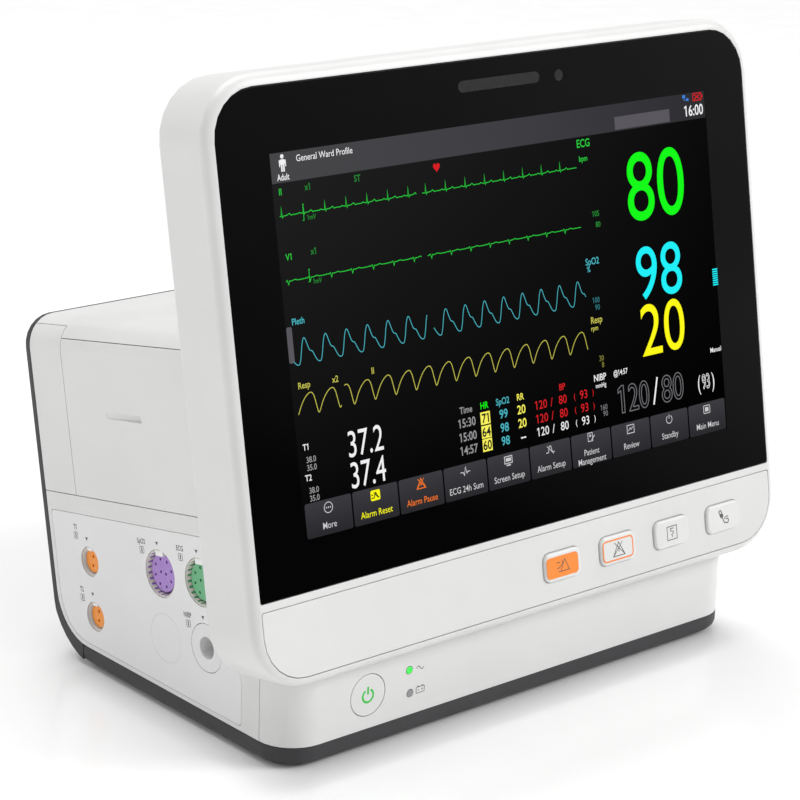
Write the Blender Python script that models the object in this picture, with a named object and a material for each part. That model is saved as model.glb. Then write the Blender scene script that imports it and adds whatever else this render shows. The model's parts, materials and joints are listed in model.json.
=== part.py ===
"""Bedside patient monitor: a tilted display head on a deep, low body.

Everything is in metres, +Z up, with the origin under the middle of the monitor on the surface it
stands on.  Two frames place the pieces.  HEAD leans back with the display: x runs across the
display, y runs away from the viewer and z runs up the glass, all from the display's centre.
BODY is level: y is counted from the display's centre and z from the table.
"""
import math

import bmesh
import bpy
from mathutils import Matrix, Vector

# Driving dimensions
TILT = math.radians(10.15)
DISPLAY_Y = -0.06787
DISPLAY_Z = 0.1553
GAP = 0.0003
WALL = 0.0025
SHEET = 0.0012
BOARD_THICKNESS = 0.0016
BEYOND = 0.3

HEAD_HALF_WIDTH = 0.1352
HEAD_TOP = 0.0960
HEAD_BOTTOM = -0.1200
HEAD_DEPTH = 0.0285
HEAD_CORNER = 0.0225
HEAD_BACK_DEPTH = 0.0380
FRONT_ROUNDING = 0.0040
REAR_ROUNDING = 0.0025
FRONT_WALL = 0.0045
DOME_SHOULDER = (0.0075, 0.0340)
DOME_TOP = (0.0140, HEAD_BACK_DEPTH)

GLASS_HALF_WIDTH = 0.1310
GLASS_TOP = 0.0913
GLASS_BOTTOM = -0.0862
GLASS_CORNER = 0.0175
GLASS_THICKNESS = 0.0018
SEAM_CORNER = 0.0010
RECESS = GLASS_THICKNESS + GAP

KEYPAD_TOP = -0.0896
KEYPAD_BOTTOM = -0.1163
KEY_PITCH = 0.0300
KEY_FIRST_X = 0.0120
KEY_Z = -0.1033
KEY_WIDTH = 0.0190
KEY_HEIGHT = 0.0112
KEY_PROUD = 0.0012

BODY_HALF_WIDTH = 0.1176
BODY_TOP = 0.0053
BODY_CORNER = 0.0120
REAR_SEAM_DEPTH = 0.1540
REAR_DEPTH = 0.1580
CHIN_Y = -0.0130
CHIN_CORNER = 0.0153
CHIN_SEAM_Y = 0.0023
PANEL_SEAM_Z = -0.0635
STRIP_SEAM_DEPTH = 0.1322
PANEL_EDGE_ANGLE = math.radians(23)
STRIP_EDGE_ANGLE = math.radians(49)

FOOT_PROUD = 0.0012
BASE_BOTTOM = FOOT_PROUD
BASE_TOP = BASE_BOTTOM + 0.0071
BASE_REAR_Y = 0.1150
BASE_ROUNDING = 0.0035
REAR_OUTER_ROUNDING = 0.0300
REAR_INNER_ROUNDING = 0.0210

POWER_X = -0.0793
POWER_Z = 0.0219
POWER_RADIUS = 0.0081

RECORDER_NEAR = 0.0570
RECORDER_FAR = 0.1130
RECORDER_LOW = -0.0560
RECORDER_HIGH = -0.0100

HEAD = Matrix.Translation((0, DISPLAY_Y, DISPLAY_Z)) @ Matrix.Rotation(-TILT, 4, "X")
BODY = Matrix.Translation((0, DISPLAY_Y, 0))

WHITE = ("white_housing", (0.80, 0.81, 0.81), 0.42, 0.0)
DARK = ("dark_cover", (0.065, 0.067, 0.070), 0.50, 0.0)
GLASS = ("black_glass", (0.006, 0.006, 0.007), 0.08, 0.0)
SCREEN = ("display", (0.02, 0.02, 0.025), 0.30, 0.0)
STEEL = ("sheet_steel", (0.55, 0.56, 0.57), 0.35, 1.0)
BOARD = ("circuit_board", (0.02, 0.16, 0.07), 0.55, 0.0)
BLACK = ("black_plastic", (0.02, 0.02, 0.022), 0.45, 0.0)
ORANGE_KEY = ("orange_key", (0.95, 0.34, 0.07), 0.45, 0.0)
ORANGE = ("orange_socket", (0.93, 0.33, 0.02), 0.45, 0.0)
PURPLE = ("purple_socket", (0.42, 0.24, 0.62), 0.45, 0.0)
GREEN = ("green_socket", (0.16, 0.48, 0.26), 0.45, 0.0)
RUBBER = ("rubber", (0.04, 0.04, 0.04), 0.85, 0.0)
BATTERY = ("battery_case", (0.10, 0.11, 0.13), 0.50, 0.0)
PAPER = ("paper", (0.88, 0.87, 0.83), 0.85, 0.0)
BRASS = ("brass", (0.72, 0.52, 0.22), 0.30, 1.0)
CLEAR = ("light_guide", (0.45, 0.46, 0.47), 0.30, 0.0)


# Tools

def rounded(corners, steps=5):
    """A closed outline through corners given as (across, up, radius)."""
    outline = []
    for index, (across, up, radius) in enumerate(corners):
        corner = Vector((across, up))
        if radius <= 0:
            outline.append(corner)
            continue
        before = (Vector(corners[index - 1][:2]) - corner).normalized()
        after = (Vector(corners[(index + 1) % len(corners)][:2]) - corner).normalized()
        half = before.angle(after) / 2
        centre = corner + (before + after).normalized() * (radius / math.sin(half))
        start = corner + before * (radius / math.tan(half)) - centre
        end = corner + after * (radius / math.tan(half)) - centre
        turn = start.angle_signed(end)
        for step in range(steps + 1):
            angle = -turn * step / steps
            arm = Matrix.Rotation(angle, 2) @ start
            outline.append(centre + arm)
    return outline


def rectangle(left, right, low, high, radius=0.0, steps=3):
    corners = [(left, low, radius), (right, low, radius), (right, high, radius), (left, high, radius)]
    return rounded(corners, steps)


def circle(across, up, radius, sides=24):
    turns = [2 * math.pi * (side + 0.5) / sides for side in range(sides)]
    return [Vector((across + radius * math.cos(t), up + radius * math.sin(t))) for t in turns]


def arc(centre, radius, start, end, steps=5):
    angles = [start + (end - start) * step / steps for step in range(steps + 1)]
    return [Vector((centre[0] + radius * math.cos(a), centre[1] + radius * math.sin(a))) for a in angles]


def loft(rings):
    """A closed solid through rings of equally many points, with flat ends."""
    mesh = bmesh.new()
    loops = [[mesh.verts.new(point) for point in ring] for ring in rings]
    for near, far in zip(loops, loops[1:]):
        for index in range(len(near)):
            after = (index + 1) % len(near)
            mesh.faces.new((near[index], near[after], far[after], far[index]))
    mesh.faces.new(loops[0])
    mesh.faces.new(loops[-1])
    bmesh.ops.recalc_face_normals(mesh, faces=mesh.faces)
    solid = bpy.data.objects.new("solid", bpy.data.meshes.new("solid"))
    bpy.context.scene.collection.objects.link(solid)
    mesh.to_mesh(solid.data)
    mesh.free()
    return solid


def lay(outline, axis, level):
    """Puts an outline on the plane across an axis, at a level along it."""
    if axis == "X":
        return [Vector((level, point[0], point[1])) for point in outline]
    if axis == "Y":
        return [Vector((point[0], level, point[1])) for point in outline]
    return [Vector((point[0], point[1], level)) for point in outline]


def prism(outline, axis, low, high):
    return loft([lay(outline, axis, low), lay(outline, axis, high)])


def block(x_range, y_range, z_range, radius=0.0):
    return prism(rectangle(*x_range, *z_range, radius), "Y", *y_range)


def rod(centre, radius, axis, low, high, sides=20):
    return prism(circle(*centre, radius, sides), axis, low, high)


def combine(solid, others, operation):
    """Joins or cuts solids, which are used up."""
    for other in others:
        change = solid.modifiers.new("change", "BOOLEAN")
        change.operation = operation
        change.solver = "EXACT"
        change.object = other
        shown = bpy.context.evaluated_depsgraph_get()
        result = bpy.data.meshes.new_from_object(solid.evaluated_get(shown))
        solid.modifiers.clear()
        spent = solid.data
        solid.data = result
        bpy.data.meshes.remove(spent)
        bpy.data.objects.remove(other)
    return solid


def join(solid, *others):
    return combine(solid, others, "UNION")


def cut(solid, *others):
    return combine(solid, others, "DIFFERENCE")


def keep(solid, *others):
    return combine(solid, others, "INTERSECT")


def node(name, solid, place, finish):
    """Names a finished solid, places it and gives it its material."""
    title, colour, roughness, metallic = finish
    surface = bpy.data.materials.get(title)
    if surface is None:
        surface = bpy.data.materials.new(title)
        surface.use_nodes = True
        shader = surface.node_tree.nodes["Principled BSDF"]
        shader.inputs["Base Color"].default_value = (*colour, 1.0)
        shader.inputs["Roughness"].default_value = roughness
        shader.inputs["Metallic"].default_value = metallic
    solid.name = name
    solid.data.name = name
    solid.matrix_world = place
    solid.data.materials.clear()
    solid.data.materials.append(surface)
    solid.data.shade_smooth()
    solid.data.set_sharp_from_angle(angle=math.radians(35))
    return solid


def side_point(depth, height):
    """The BODY (y, z) of a point given by its HEAD depth and height."""
    across = depth * math.cos(TILT) + height * math.sin(TILT)
    return across, DISPLAY_Z + height * math.cos(TILT) - depth * math.sin(TILT)


def depth_at_level(depth, level):
    """The BODY y where the leaning plane at a HEAD depth crosses a level."""
    height = (level - DISPLAY_Z + depth * math.sin(TILT)) / math.cos(TILT)
    return side_point(depth, height)[0]


for old in list(bpy.data.objects):
    bpy.data.objects.remove(old)


# Head

def head_outline(inset):
    radius = HEAD_CORNER - inset
    width = HEAD_HALF_WIDTH - inset
    return rectangle(-width, width, HEAD_BOTTOM + inset, HEAD_TOP - inset, radius, 6)


def housing_rings(growth=0.0):
    """The front housing's outside, from its rounded front edge to its rounded rear edge."""
    rings = []
    for step in range(5):
        angle = step * math.pi / 8
        inset = FRONT_ROUNDING * (1 - math.sin(angle)) - growth
        rings.append(lay(head_outline(inset), "Y", FRONT_ROUNDING * (1 - math.cos(angle)) - growth))
    for step in range(4):
        angle = step * math.pi / 6
        inset = REAR_ROUNDING * (1 - math.cos(angle)) - growth
        rings.append(lay(head_outline(inset), "Y", HEAD_DEPTH - REAR_ROUNDING * (1 - math.sin(angle)) + growth))
    return rings


def head_shape(growth=0.0):
    """The head's outer shape with its back dome, grown on every side."""
    rings = housing_rings(growth)
    for inset, level in (DOME_SHOULDER, DOME_TOP):
        rings.append(lay(head_outline(inset - growth), "Y", level + growth))
    return loft(rings)


def glass_outline(spare):
    corners = [
        (-GLASS_HALF_WIDTH - spare, GLASS_BOTTOM - spare, SEAM_CORNER),
        (GLASS_HALF_WIDTH + spare, GLASS_BOTTOM - spare, SEAM_CORNER),
        (GLASS_HALF_WIDTH + spare, GLASS_TOP + spare, GLASS_CORNER + spare),
        (-GLASS_HALF_WIDTH - spare, GLASS_TOP + spare, GLASS_CORNER + spare),
    ]
    return rounded(corners, 6)


def keypad_outline(spare):
    corners = [
        (-GLASS_HALF_WIDTH - spare, KEYPAD_BOTTOM - spare, GLASS_CORNER + spare),
        (GLASS_HALF_WIDTH + spare, KEYPAD_BOTTOM - spare, GLASS_CORNER + spare),
        (GLASS_HALF_WIDTH + spare, KEYPAD_TOP + spare, SEAM_CORNER),
        (-GLASS_HALF_WIDTH - spare, KEYPAD_TOP + spare, SEAM_CORNER),
    ]
    return rounded(corners, 6)


KEY_CENTRES = [KEY_FIRST_X + KEY_PITCH * index for index in range(4)]
KEY_CORNER = 0.0028
KEY_CLEARANCE = 0.0012
LAMP_HALF_WIDTH = 0.0202
LAMP_HALF_HEIGHT = 0.0021
LAMP_Z = 0.0820
PANEL_HALF_WIDTH = 0.1148
PANEL_HALF_HEIGHT = 0.0745
PANEL_BACK = 0.0076
PANEL_CLEARANCE = 0.0005
BOSS_PLACES = [(-0.1240, 0.0700), (0.1240, 0.0700)]
BOSS_RADIUS = 0.0040
SCREW_RADIUS = 0.0014
SCREW_HEAD_RADIUS = 0.0028


def key_window(centre, spare, near, far):
    half_width = KEY_WIDTH / 2 + spare
    half_height = KEY_HEIGHT / 2 + spare
    outline = rectangle(centre - half_width, centre + half_width, KEY_Z - half_height,
                        KEY_Z + half_height, KEY_CORNER + spare)
    return prism(outline, "Y", near, far)


def front_housing():
    side_wall = 0.0030
    pilot_floor = 0.0120
    through = (0.0, 2 * FRONT_WALL)
    shell = loft(housing_rings())
    cut(shell, prism(head_outline(side_wall), "Y", FRONT_WALL, BEYOND))
    for place in BOSS_PLACES:
        join(shell, rod(place, BOSS_RADIUS, "Y", FRONT_WALL / 2, HEAD_DEPTH - 3 * GAP, 12))
    cut(shell, prism(glass_outline(GAP), "Y", -BEYOND, RECESS))
    cut(shell, prism(keypad_outline(GAP), "Y", -BEYOND, RECESS))
    half_width = PANEL_HALF_WIDTH + PANEL_CLEARANCE
    half_height = PANEL_HALF_HEIGHT + PANEL_CLEARANCE
    cut(shell, block((-half_width, half_width), through, (-half_height, half_height)))
    lamp_width = LAMP_HALF_WIDTH + GAP
    lamp_height = LAMP_HALF_HEIGHT + GAP
    cut(shell, block((-lamp_width, lamp_width), through, (LAMP_Z - lamp_height, LAMP_Z + lamp_height),
                     LAMP_HALF_HEIGHT))
    cut(shell, *[key_window(centre, KEY_CLEARANCE, SEAM_CORNER, 2 * FRONT_WALL) for centre in KEY_CENTRES])
    cut(shell, *[rod(place, SCREW_RADIUS + GAP, "Y", pilot_floor, BEYOND, 10) for place in BOSS_PLACES])
    return shell


node("front_housing", front_housing(), HEAD, WHITE)
node("cover_glass", prism(glass_outline(0), "Y", 0, GLASS_THICKNESS), HEAD, GLASS)

display = block((-PANEL_HALF_WIDTH, PANEL_HALF_WIDTH), (RECESS, PANEL_BACK),
                (-PANEL_HALF_HEIGHT, PANEL_HALF_HEIGHT))
node("display_panel", display, HEAD, SCREEN)


def display_bracket():
    """A sheet steel tray behind the panel, with a folded flange along its top and bottom."""
    half_width = 0.1190
    low = -0.0790
    high = 0.0770
    front = PANEL_BACK + 0.0004
    flange_back = 0.0140
    tray = block((-half_width, half_width), (front, front + SHEET), (low, high))
    for flange_low in (low, high - SHEET):
        join(tray, block((-half_width, half_width), (front + SHEET / 2, flange_back),
                         (flange_low, flange_low + SHEET)))
    return tray


node("display_bracket", display_bracket(), HEAD, STEEL)

GUIDE_BACK = 0.0100
guide = block((-LAMP_HALF_WIDTH, LAMP_HALF_WIDTH), (RECESS, GUIDE_BACK),
              (LAMP_Z - LAMP_HALF_HEIGHT, LAMP_Z + LAMP_HALF_HEIGHT), LAMP_HALF_HEIGHT - GAP / 2)
node("alarm_light_guide", guide, HEAD, CLEAR)

keypad = prism(keypad_outline(0), "Y", 0, GLASS_THICKNESS)
cut(keypad, *[key_window(centre, GAP, -BEYOND, BEYOND) for centre in KEY_CENTRES])
node("keypad_panel", keypad, HEAD, WHITE)

SWITCH_FACE = 0.0060
SWITCH_HALF = 0.0031
KEY_BOARD_FRONT = 0.0080


def key_cap():
    """A pillow-topped key with a flange behind the panel and a stem towards its switch."""
    pillow = ((0.0010, 0.0), (0.0004, 0.0002), (0.0001, 0.0005), (0.0, 0.0009), (0.0, KEY_PROUD + RECESS + GAP))
    flange_width = 0.0006
    flange_back = 0.0032
    stem_radius = 0.0030
    stem_end = 0.0050
    rings = []
    for inset, drop in pillow:
        half_width = KEY_WIDTH / 2 - inset
        half_height = KEY_HEIGHT / 2 - inset
        outline = rectangle(-half_width, half_width, -half_height, half_height, KEY_CORNER - inset, 4)
        rings.append(lay(outline, "Y", drop - KEY_PROUD))
    cap = loft(rings)
    half_width = KEY_WIDTH / 2 + flange_width
    half_height = KEY_HEIGHT / 2 + flange_width
    join(cap, block((-half_width, half_width), (RECESS + GAP / 3, flange_back), (-half_height, half_height),
                    KEY_CORNER))
    join(cap, rod((0, 0), stem_radius, "Y", flange_back - GAP, stem_end, 12))
    return cap


KEY_NAMES = ("key_alarm_reset", "key_alarm_pause", "key_record", "key_cuff_start")
for key_name, centre in zip(KEY_NAMES, KEY_CENTRES):
    key_finish = ORANGE_KEY if key_name == "key_alarm_reset" else WHITE
    node(key_name, key_cap(), HEAD @ Matrix.Translation((centre, 0, KEY_Z)), key_finish)

KEY_BOARD_END = 0.1150
KEY_BOARD_HALF_HEIGHT = 0.0095
key_board = block((0, KEY_BOARD_END), (KEY_BOARD_FRONT, KEY_BOARD_FRONT + BOARD_THICKNESS),
                  (KEY_Z - KEY_BOARD_HALF_HEIGHT, KEY_Z + KEY_BOARD_HALF_HEIGHT))
for centre in KEY_CENTRES:
    join(key_board, block((centre - SWITCH_HALF, centre + SWITCH_HALF), (SWITCH_FACE, KEY_BOARD_FRONT + GAP),
                          (KEY_Z - SWITCH_HALF, KEY_Z + SWITCH_HALF)))
node("key_board", key_board, HEAD, BOARD)


def head_back():
    """The head's domed back shell, with a hand recess near its top."""
    outside = ((REAR_ROUNDING, HEAD_DEPTH + GAP), DOME_SHOULDER, DOME_TOP)
    inside = ((REAR_ROUNDING + WALL, HEAD_DEPTH - 3 * GAP), (0.0095, 0.0318), (0.0150, HEAD_BACK_DEPTH - WALL))
    recess_half = 0.0560
    recess_floor = 0.0245
    recess_low = 0.0560
    recess_high = 0.0795
    recess_wall = 0.0020
    cable_half = 0.0300
    cable_low = -0.0760
    cable_high = -0.0600
    seat_radius = 0.0055
    seat_depth = 0.0310
    shell = loft([lay(head_outline(inset), "Y", level) for inset, level in outside])
    cut(shell, loft([lay(head_outline(inset), "Y", level) for inset, level in inside]))
    outer = recess_half + recess_wall
    join(shell, block((-outer, outer), (recess_floor - recess_wall, HEAD_BACK_DEPTH - WALL / 2),
                      (recess_low - recess_wall, recess_high + recess_wall), 0.006))
    cut(shell, block((-recess_half, recess_half), (recess_floor, BEYOND), (recess_low, recess_high), 0.005))
    cut(shell, block((-cable_half, cable_half), (HEAD_DEPTH, BEYOND), (cable_low, cable_high), 0.002))
    for place in BOSS_PLACES:
        join(shell, rod(place, seat_radius, "Y", HEAD_DEPTH + GAP, DOME_SHOULDER[1] + GAP, 12))
        cut(shell, rod(place, SCREW_HEAD_RADIUS + 2 * GAP, "Y", seat_depth, BEYOND, 12))
        cut(shell, rod(place, SCREW_RADIUS + 2 * GAP, "Y", 0, BEYOND, 10))
    return shell


node("head_back", head_back(), HEAD, WHITE)


def screw(length, head_height=0.0016):
    """A pan-head screw with a cross slot, its head's top at the origin and its shank along +Y."""
    head = rod((0, 0), SCREW_HEAD_RADIUS, "Y", 0, head_height, 12)
    join(head, rod((0, 0), SCREW_RADIUS, "Y", head_height / 2, length, 10))
    arm = SCREW_HEAD_RADIUS * 0.65
    slot = 0.0004
    slot_depth = (-BEYOND, 0.0007)
    cut(head, block((-arm, arm), slot_depth, (-slot, slot)))
    cut(head, block((-slot, slot), slot_depth, (-arm, arm)))
    return head


HEAD_SCREW_TOP = 0.0330
HEAD_SCREW_LENGTH = 0.0130
for index, (x, z) in enumerate(BOSS_PLACES):
    turned = Matrix.Translation((x, HEAD_SCREW_TOP, z)) @ Matrix.Rotation(math.pi, 4, "Z")
    node(f"head_screw_{index + 1}", screw(HEAD_SCREW_LENGTH), HEAD @ turned, STEEL)


# Body casings

FILLET_CENTRE = (BODY_HALF_WIDTH - BODY_CORNER, BODY_TOP - BODY_CORNER)
SHELL_FRONT = HEAD_BACK_DEPTH + GAP


def side_profile(low, top_angle, sign):
    """Section of a side panel that turns over the body's upper edge as far as an angle."""
    inner = BODY_CORNER - WALL
    outside = arc(FILLET_CENTRE, BODY_CORNER, 0, top_angle)
    inside = arc(FILLET_CENTRE, inner, top_angle, 0)
    corners = [Vector((BODY_HALF_WIDTH, low))] + outside + inside + [Vector((BODY_HALF_WIDTH - WALL, low))]
    return [Vector((sign * corner[0], corner[1])) for corner in corners]


def top_cover():
    start = PANEL_EDGE_ANGLE + GAP / BODY_CORNER
    quarter = math.pi / 2
    outer = arc(FILLET_CENTRE, BODY_CORNER, start, quarter)
    inner = arc(FILLET_CENTRE, BODY_CORNER - WALL, start, quarter)
    mirrored_outer = [Vector((-point[0], point[1])) for point in reversed(outer)]
    mirrored_inner = [Vector((-point[0], point[1])) for point in inner]
    section = outer + mirrored_outer + mirrored_inner + list(reversed(inner))
    cover = prism(section, "Y", SHELL_FRONT, REAR_SEAM_DEPTH - GAP / 2)
    reach = 2 * BODY_CORNER
    edge = STRIP_EDGE_ANGLE + GAP / BODY_CORNER
    for sign in (-1, 1):
        wedge = [Vector((0, 0)), Vector((reach, -reach)), Vector((reach, 0))]
        wedge.append(Vector((reach * math.cos(edge), reach * math.sin(edge))))
        place = [Vector((sign * (FILLET_CENTRE[0] + p[0]), FILLET_CENTRE[1] + p[1])) for p in wedge]
        cut(cover, prism(place, "Y", STRIP_SEAM_DEPTH - GAP / 2, BEYOND))
    return cover


node("top_cover", top_cover(), HEAD, WHITE)


def plan_outline(inset, rear):
    """The footprint: rounded front corners and a straight rear end."""
    width = BODY_HALF_WIDTH - inset
    corners = [
        (-width, CHIN_Y + inset, CHIN_CORNER - inset),
        (width, CHIN_Y + inset, CHIN_CORNER - inset),
        (width, rear, 0.0),
        (-width, rear, 0.0),
    ]
    return rounded(corners, 8)


def lower_profile():
    """BODY outline of the white lower side, between chin seam, panel seam and base."""
    inside_head = 0.0200
    chin_step = 0.0300
    rear = REAR_SEAM_DEPTH - GAP / 2
    low = BASE_TOP + GAP
    upper_rear = side_point(rear, PANEL_SEAM_Z - GAP / 2)
    upper_front = side_point(inside_head, PANEL_SEAM_Z - GAP / 2)
    front = CHIN_SEAM_Y + GAP / 2
    corners = [
        (*upper_rear, 0.0),
        (*upper_front, 0.0),
        (front, upper_front[1] - chin_step, 0.0),
        (front, low, 0.0),
        (depth_at_level(rear, low), low, REAR_INNER_ROUNDING),
    ]
    return rounded(corners, 8)


SOCKETS = {
    "temperature_socket_1": (0.1278, -0.0894, 0.0058),
    "temperature_socket_2": (0.1280, -0.1115, 0.0058),
    "spo2_socket": (0.0803, -0.0882, 0.0092),
    "ecg_socket": (0.0550, -0.0883, 0.0092),
    "pressure_blank": (0.0808, -0.1131, 0.0094),
    "cuff_port": (0.0550, -0.1132, 0.0094),
}


def side_hole(depth, height, radius, near, far, sides=24):
    """A cutter through the left side, at a place given in HEAD depth and height."""
    return rod(side_point(depth, height), radius, "X", near, far, sides)


REAR_SCREW_X = 0.1107
REAR_SCREW_UPPER = -0.0200
REAR_SCREW_LOWER = -0.0850
REAR_SCREW_LENGTH = 0.0150
POST_RADIUS = 0.0046
POST_FRONT = 0.1380
PILOT_RADIUS = SCREW_RADIUS + 0.0004


def rear_screw_post(sign, height):
    """A post for a rear screw, in the HEAD frame."""
    return rod((sign * REAR_SCREW_X, height), POST_RADIUS, "Y", POST_FRONT, REAR_SEAM_DEPTH - GAP / 2, 12)


def rear_screw_hole(sign, height):
    return rod((sign * REAR_SCREW_X, height), PILOT_RADIUS, "Y", POST_FRONT - WALL, BEYOND, 10)


def tilted(solid):
    """Carries a solid made in the HEAD frame into the BODY frame."""
    solid.data.transform(BODY.inverted() @ HEAD)
    return solid


def lower_side(sign):
    inner_limit = 0.0800
    near, far = sorted((sign * BEYOND, sign * inner_limit))
    panel = prism(plan_outline(0.0, BEYOND), "Z", 0.0, DISPLAY_Z)
    cut(panel, prism(plan_outline(WALL, 2 * BEYOND), "Z", -BEYOND, BEYOND))
    keep(panel, prism(lower_profile(), "X", near, far))
    cut(panel, tilted(head_shape(GAP)))
    join(panel, tilted(rear_screw_post(sign, REAR_SCREW_LOWER)))
    cut(panel, tilted(rear_screw_hole(sign, REAR_SCREW_LOWER)))
    return panel


OVERLAY_THICKNESS = 0.0006


def overlay_outline(spare):
    """The connector label: it follows the lower rear curve and ends ahead of the cuff port."""
    corner = 0.0015
    top = -0.0709 + spare
    rear = REAR_SEAM_DEPTH - 0.0027 + spare
    head_edge = HEAD_BACK_DEPTH + 0.0005 - spare
    head_edge_low = -0.1020
    low = BASE_TOP + 0.0022 - spare
    front = 0.0130 - spare
    front_height = 0.0190
    corners = [
        (*side_point(rear, top), corner),
        (*side_point(head_edge, top), 0.0),
        (*side_point(head_edge, head_edge_low), 0.0),
        (front, BASE_TOP + front_height, 0.0),
        (front, low, corner),
        (depth_at_level(rear, low), low, REAR_INNER_ROUNDING - 0.0020),
    ]
    return rounded(corners, 6)


left_panel = lower_side(-1)
overlay_back = OVERLAY_THICKNESS - BODY_HALF_WIDTH
cut(left_panel, prism(overlay_outline(GAP / 2), "X", -BEYOND, overlay_back + GAP))
overlay = prism(overlay_outline(-GAP / 2), "X", -BODY_HALF_WIDTH, overlay_back)
cut(overlay, tilted(head_shape(2 * GAP)))
for depth, height, radius in SOCKETS.values():
    cut(left_panel, side_hole(depth, height, radius + GAP, -BEYOND, 0.0))
    cut(overlay, side_hole(depth, height, radius + GAP, -BEYOND, 0.0))
node("connector_panel", left_panel, BODY, WHITE)
node("connector_overlay", overlay, BODY, WHITE)


def upper_side(sign):
    profile = side_profile(PANEL_SEAM_Z + GAP / 2, PANEL_EDGE_ANGLE, sign)
    return prism(profile, "Y", SHELL_FRONT, STRIP_SEAM_DEPTH - GAP / 2)


NICK_Z = -0.0298
NICK_DEEP_END = (0.0820, 0.0016)
NICK_SHALLOW_END = (0.1045, 0.0002)


def nick_section(depth, cut_in):
    """The finger nick's section: wider at the surface than at its floor."""
    surface = -BODY_HALF_WIDTH - 0.0014
    floor = -BODY_HALF_WIDTH + cut_in
    section = [(surface, -0.0016), (surface, 0.0016), (floor, 0.0012), (floor, -0.0012)]
    return [Vector((x, depth, NICK_Z + height)) for x, height in section]


blank = upper_side(-1)
cut(blank, loft([nick_section(*NICK_DEEP_END), nick_section(*NICK_SHALLOW_END)]))
node("module_blank", blank, HEAD, WHITE)

recorder_panel = upper_side(1)
door_cut = rectangle(RECORDER_NEAR - GAP, RECORDER_FAR + GAP, RECORDER_LOW - GAP, RECORDER_HIGH + GAP, 0.0)
cut(recorder_panel, prism(door_cut, "X", 0.0, BEYOND))
node("recorder_panel", recorder_panel, HEAD, WHITE)


def rear_strip(sign):
    profile = side_profile(PANEL_SEAM_Z + GAP / 2, STRIP_EDGE_ANGLE, sign)
    strip = prism(profile, "Y", STRIP_SEAM_DEPTH + GAP / 2, REAR_SEAM_DEPTH - GAP / 2)
    join(strip, rear_screw_post(sign, REAR_SCREW_UPPER))
    cut(strip, rear_screw_hole(sign, REAR_SCREW_UPPER))
    return strip


node("rear_strip_left", rear_strip(-1), HEAD, WHITE)
node("rear_strip_right", rear_strip(1), HEAD, WHITE)

BATTERY_NEAR = 0.0300
BATTERY_FAR = 0.1080
BATTERY_LOW = 0.0135
BATTERY_HIGH = 0.0400
DOOR_THICKNESS = 0.0024

right_panel = lower_side(1)
battery_cut = rectangle(BATTERY_NEAR - GAP, BATTERY_FAR + GAP, BATTERY_LOW - GAP, BATTERY_HIGH + GAP, 0.0)
cut(right_panel, prism(battery_cut, "X", 0.0, BEYOND))
node("right_panel", right_panel, BODY, WHITE)


def hinged_leaf(width, height, thickness):
    """A door leaf whose lower edge is rounded about its hinge line, at the origin, along Y."""
    radius = thickness / 2
    section = arc((0, 0), radius, math.pi, 2 * math.pi, 6)
    section += [Vector((radius, height)), Vector((-radius, height))]
    return prism(section, "Y", 0, width)


def grip_slot(middle, half_width, low, high, floor):
    """A shallow slot for a fingertip near the free edge of a leaf."""
    return block((floor, BEYOND), (middle - half_width, middle + half_width), (low, high), 0.001)


BATTERY_DOOR_WIDTH = BATTERY_FAR - BATTERY_NEAR
battery_door = hinged_leaf(BATTERY_DOOR_WIDTH, BATTERY_HIGH - BATTERY_LOW - DOOR_THICKNESS / 2, DOOR_THICKNESS)
cut(battery_door, grip_slot(BATTERY_DOOR_WIDTH / 2, 0.0100, 0.0195, 0.0223, 0.0004))
hinge_x = BODY_HALF_WIDTH - DOOR_THICKNESS / 2
battery_place = Matrix.Translation((hinge_x, BATTERY_NEAR, BATTERY_LOW + DOOR_THICKNESS / 2))
node("battery_door", battery_door, BODY @ battery_place, WHITE)


LIGHTS = ((-0.0594, 0.0266), (-0.0588, 0.0172))
LIGHT_RADIUS = 0.0014
CHIN_TOP = 0.0500


def chin():
    through = (-BEYOND, 0.0)
    shell = prism(plan_outline(0.0, 0.04), "Z", BASE_TOP + GAP, CHIN_TOP)
    cut(shell, prism(plan_outline(WALL, 0.05), "Z", -BEYOND, BEYOND))
    cut(shell, block((-BEYOND, BEYOND), (CHIN_SEAM_Y - GAP / 2, BEYOND), (-BEYOND, BEYOND)))
    cut(shell, tilted(head_shape(GAP)))
    cut(shell, rod((POWER_X, POWER_Z), POWER_RADIUS + GAP, "Y", *through, 28))
    for place in LIGHTS:
        cut(shell, rod(place, LIGHT_RADIUS + GAP, "Y", *through, 12))
    return shell


node("chin_housing", chin(), BODY, WHITE)

BUTTON_RIM = 0.0012
BUTTON_SEAT = 0.0030
BUTTON_BACK = 0.0040
BUTTON_STEM_END = 0.0058
BUTTON_STEM_RADIUS = 0.0030
button = rod((0, 0), POWER_RADIUS, "Y", 0, BUTTON_SEAT, 28)
join(button, rod((0, 0), POWER_RADIUS + BUTTON_RIM, "Y", BUTTON_SEAT - 0.0001, BUTTON_BACK, 28))
join(button, rod((0, 0), BUTTON_STEM_RADIUS, "Y", BUTTON_BACK - 0.0005, BUTTON_STEM_END, 12))
node("power_button", button, BODY @ Matrix.Translation((POWER_X, CHIN_Y, POWER_Z)), WHITE)

PIPE_WEB = (CHIN_Y + 0.0032, CHIN_Y + 0.0048)
PIPE_BACK = CHIN_Y + 0.0060
light_pipe = block((-0.0612, -0.0570), PIPE_WEB, (0.0150, 0.0288))
join(light_pipe, *[rod(place, LIGHT_RADIUS, "Y", CHIN_Y, PIPE_BACK, 12) for place in LIGHTS])
node("status_light_pipe", light_pipe, BODY, CLEAR)

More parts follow.
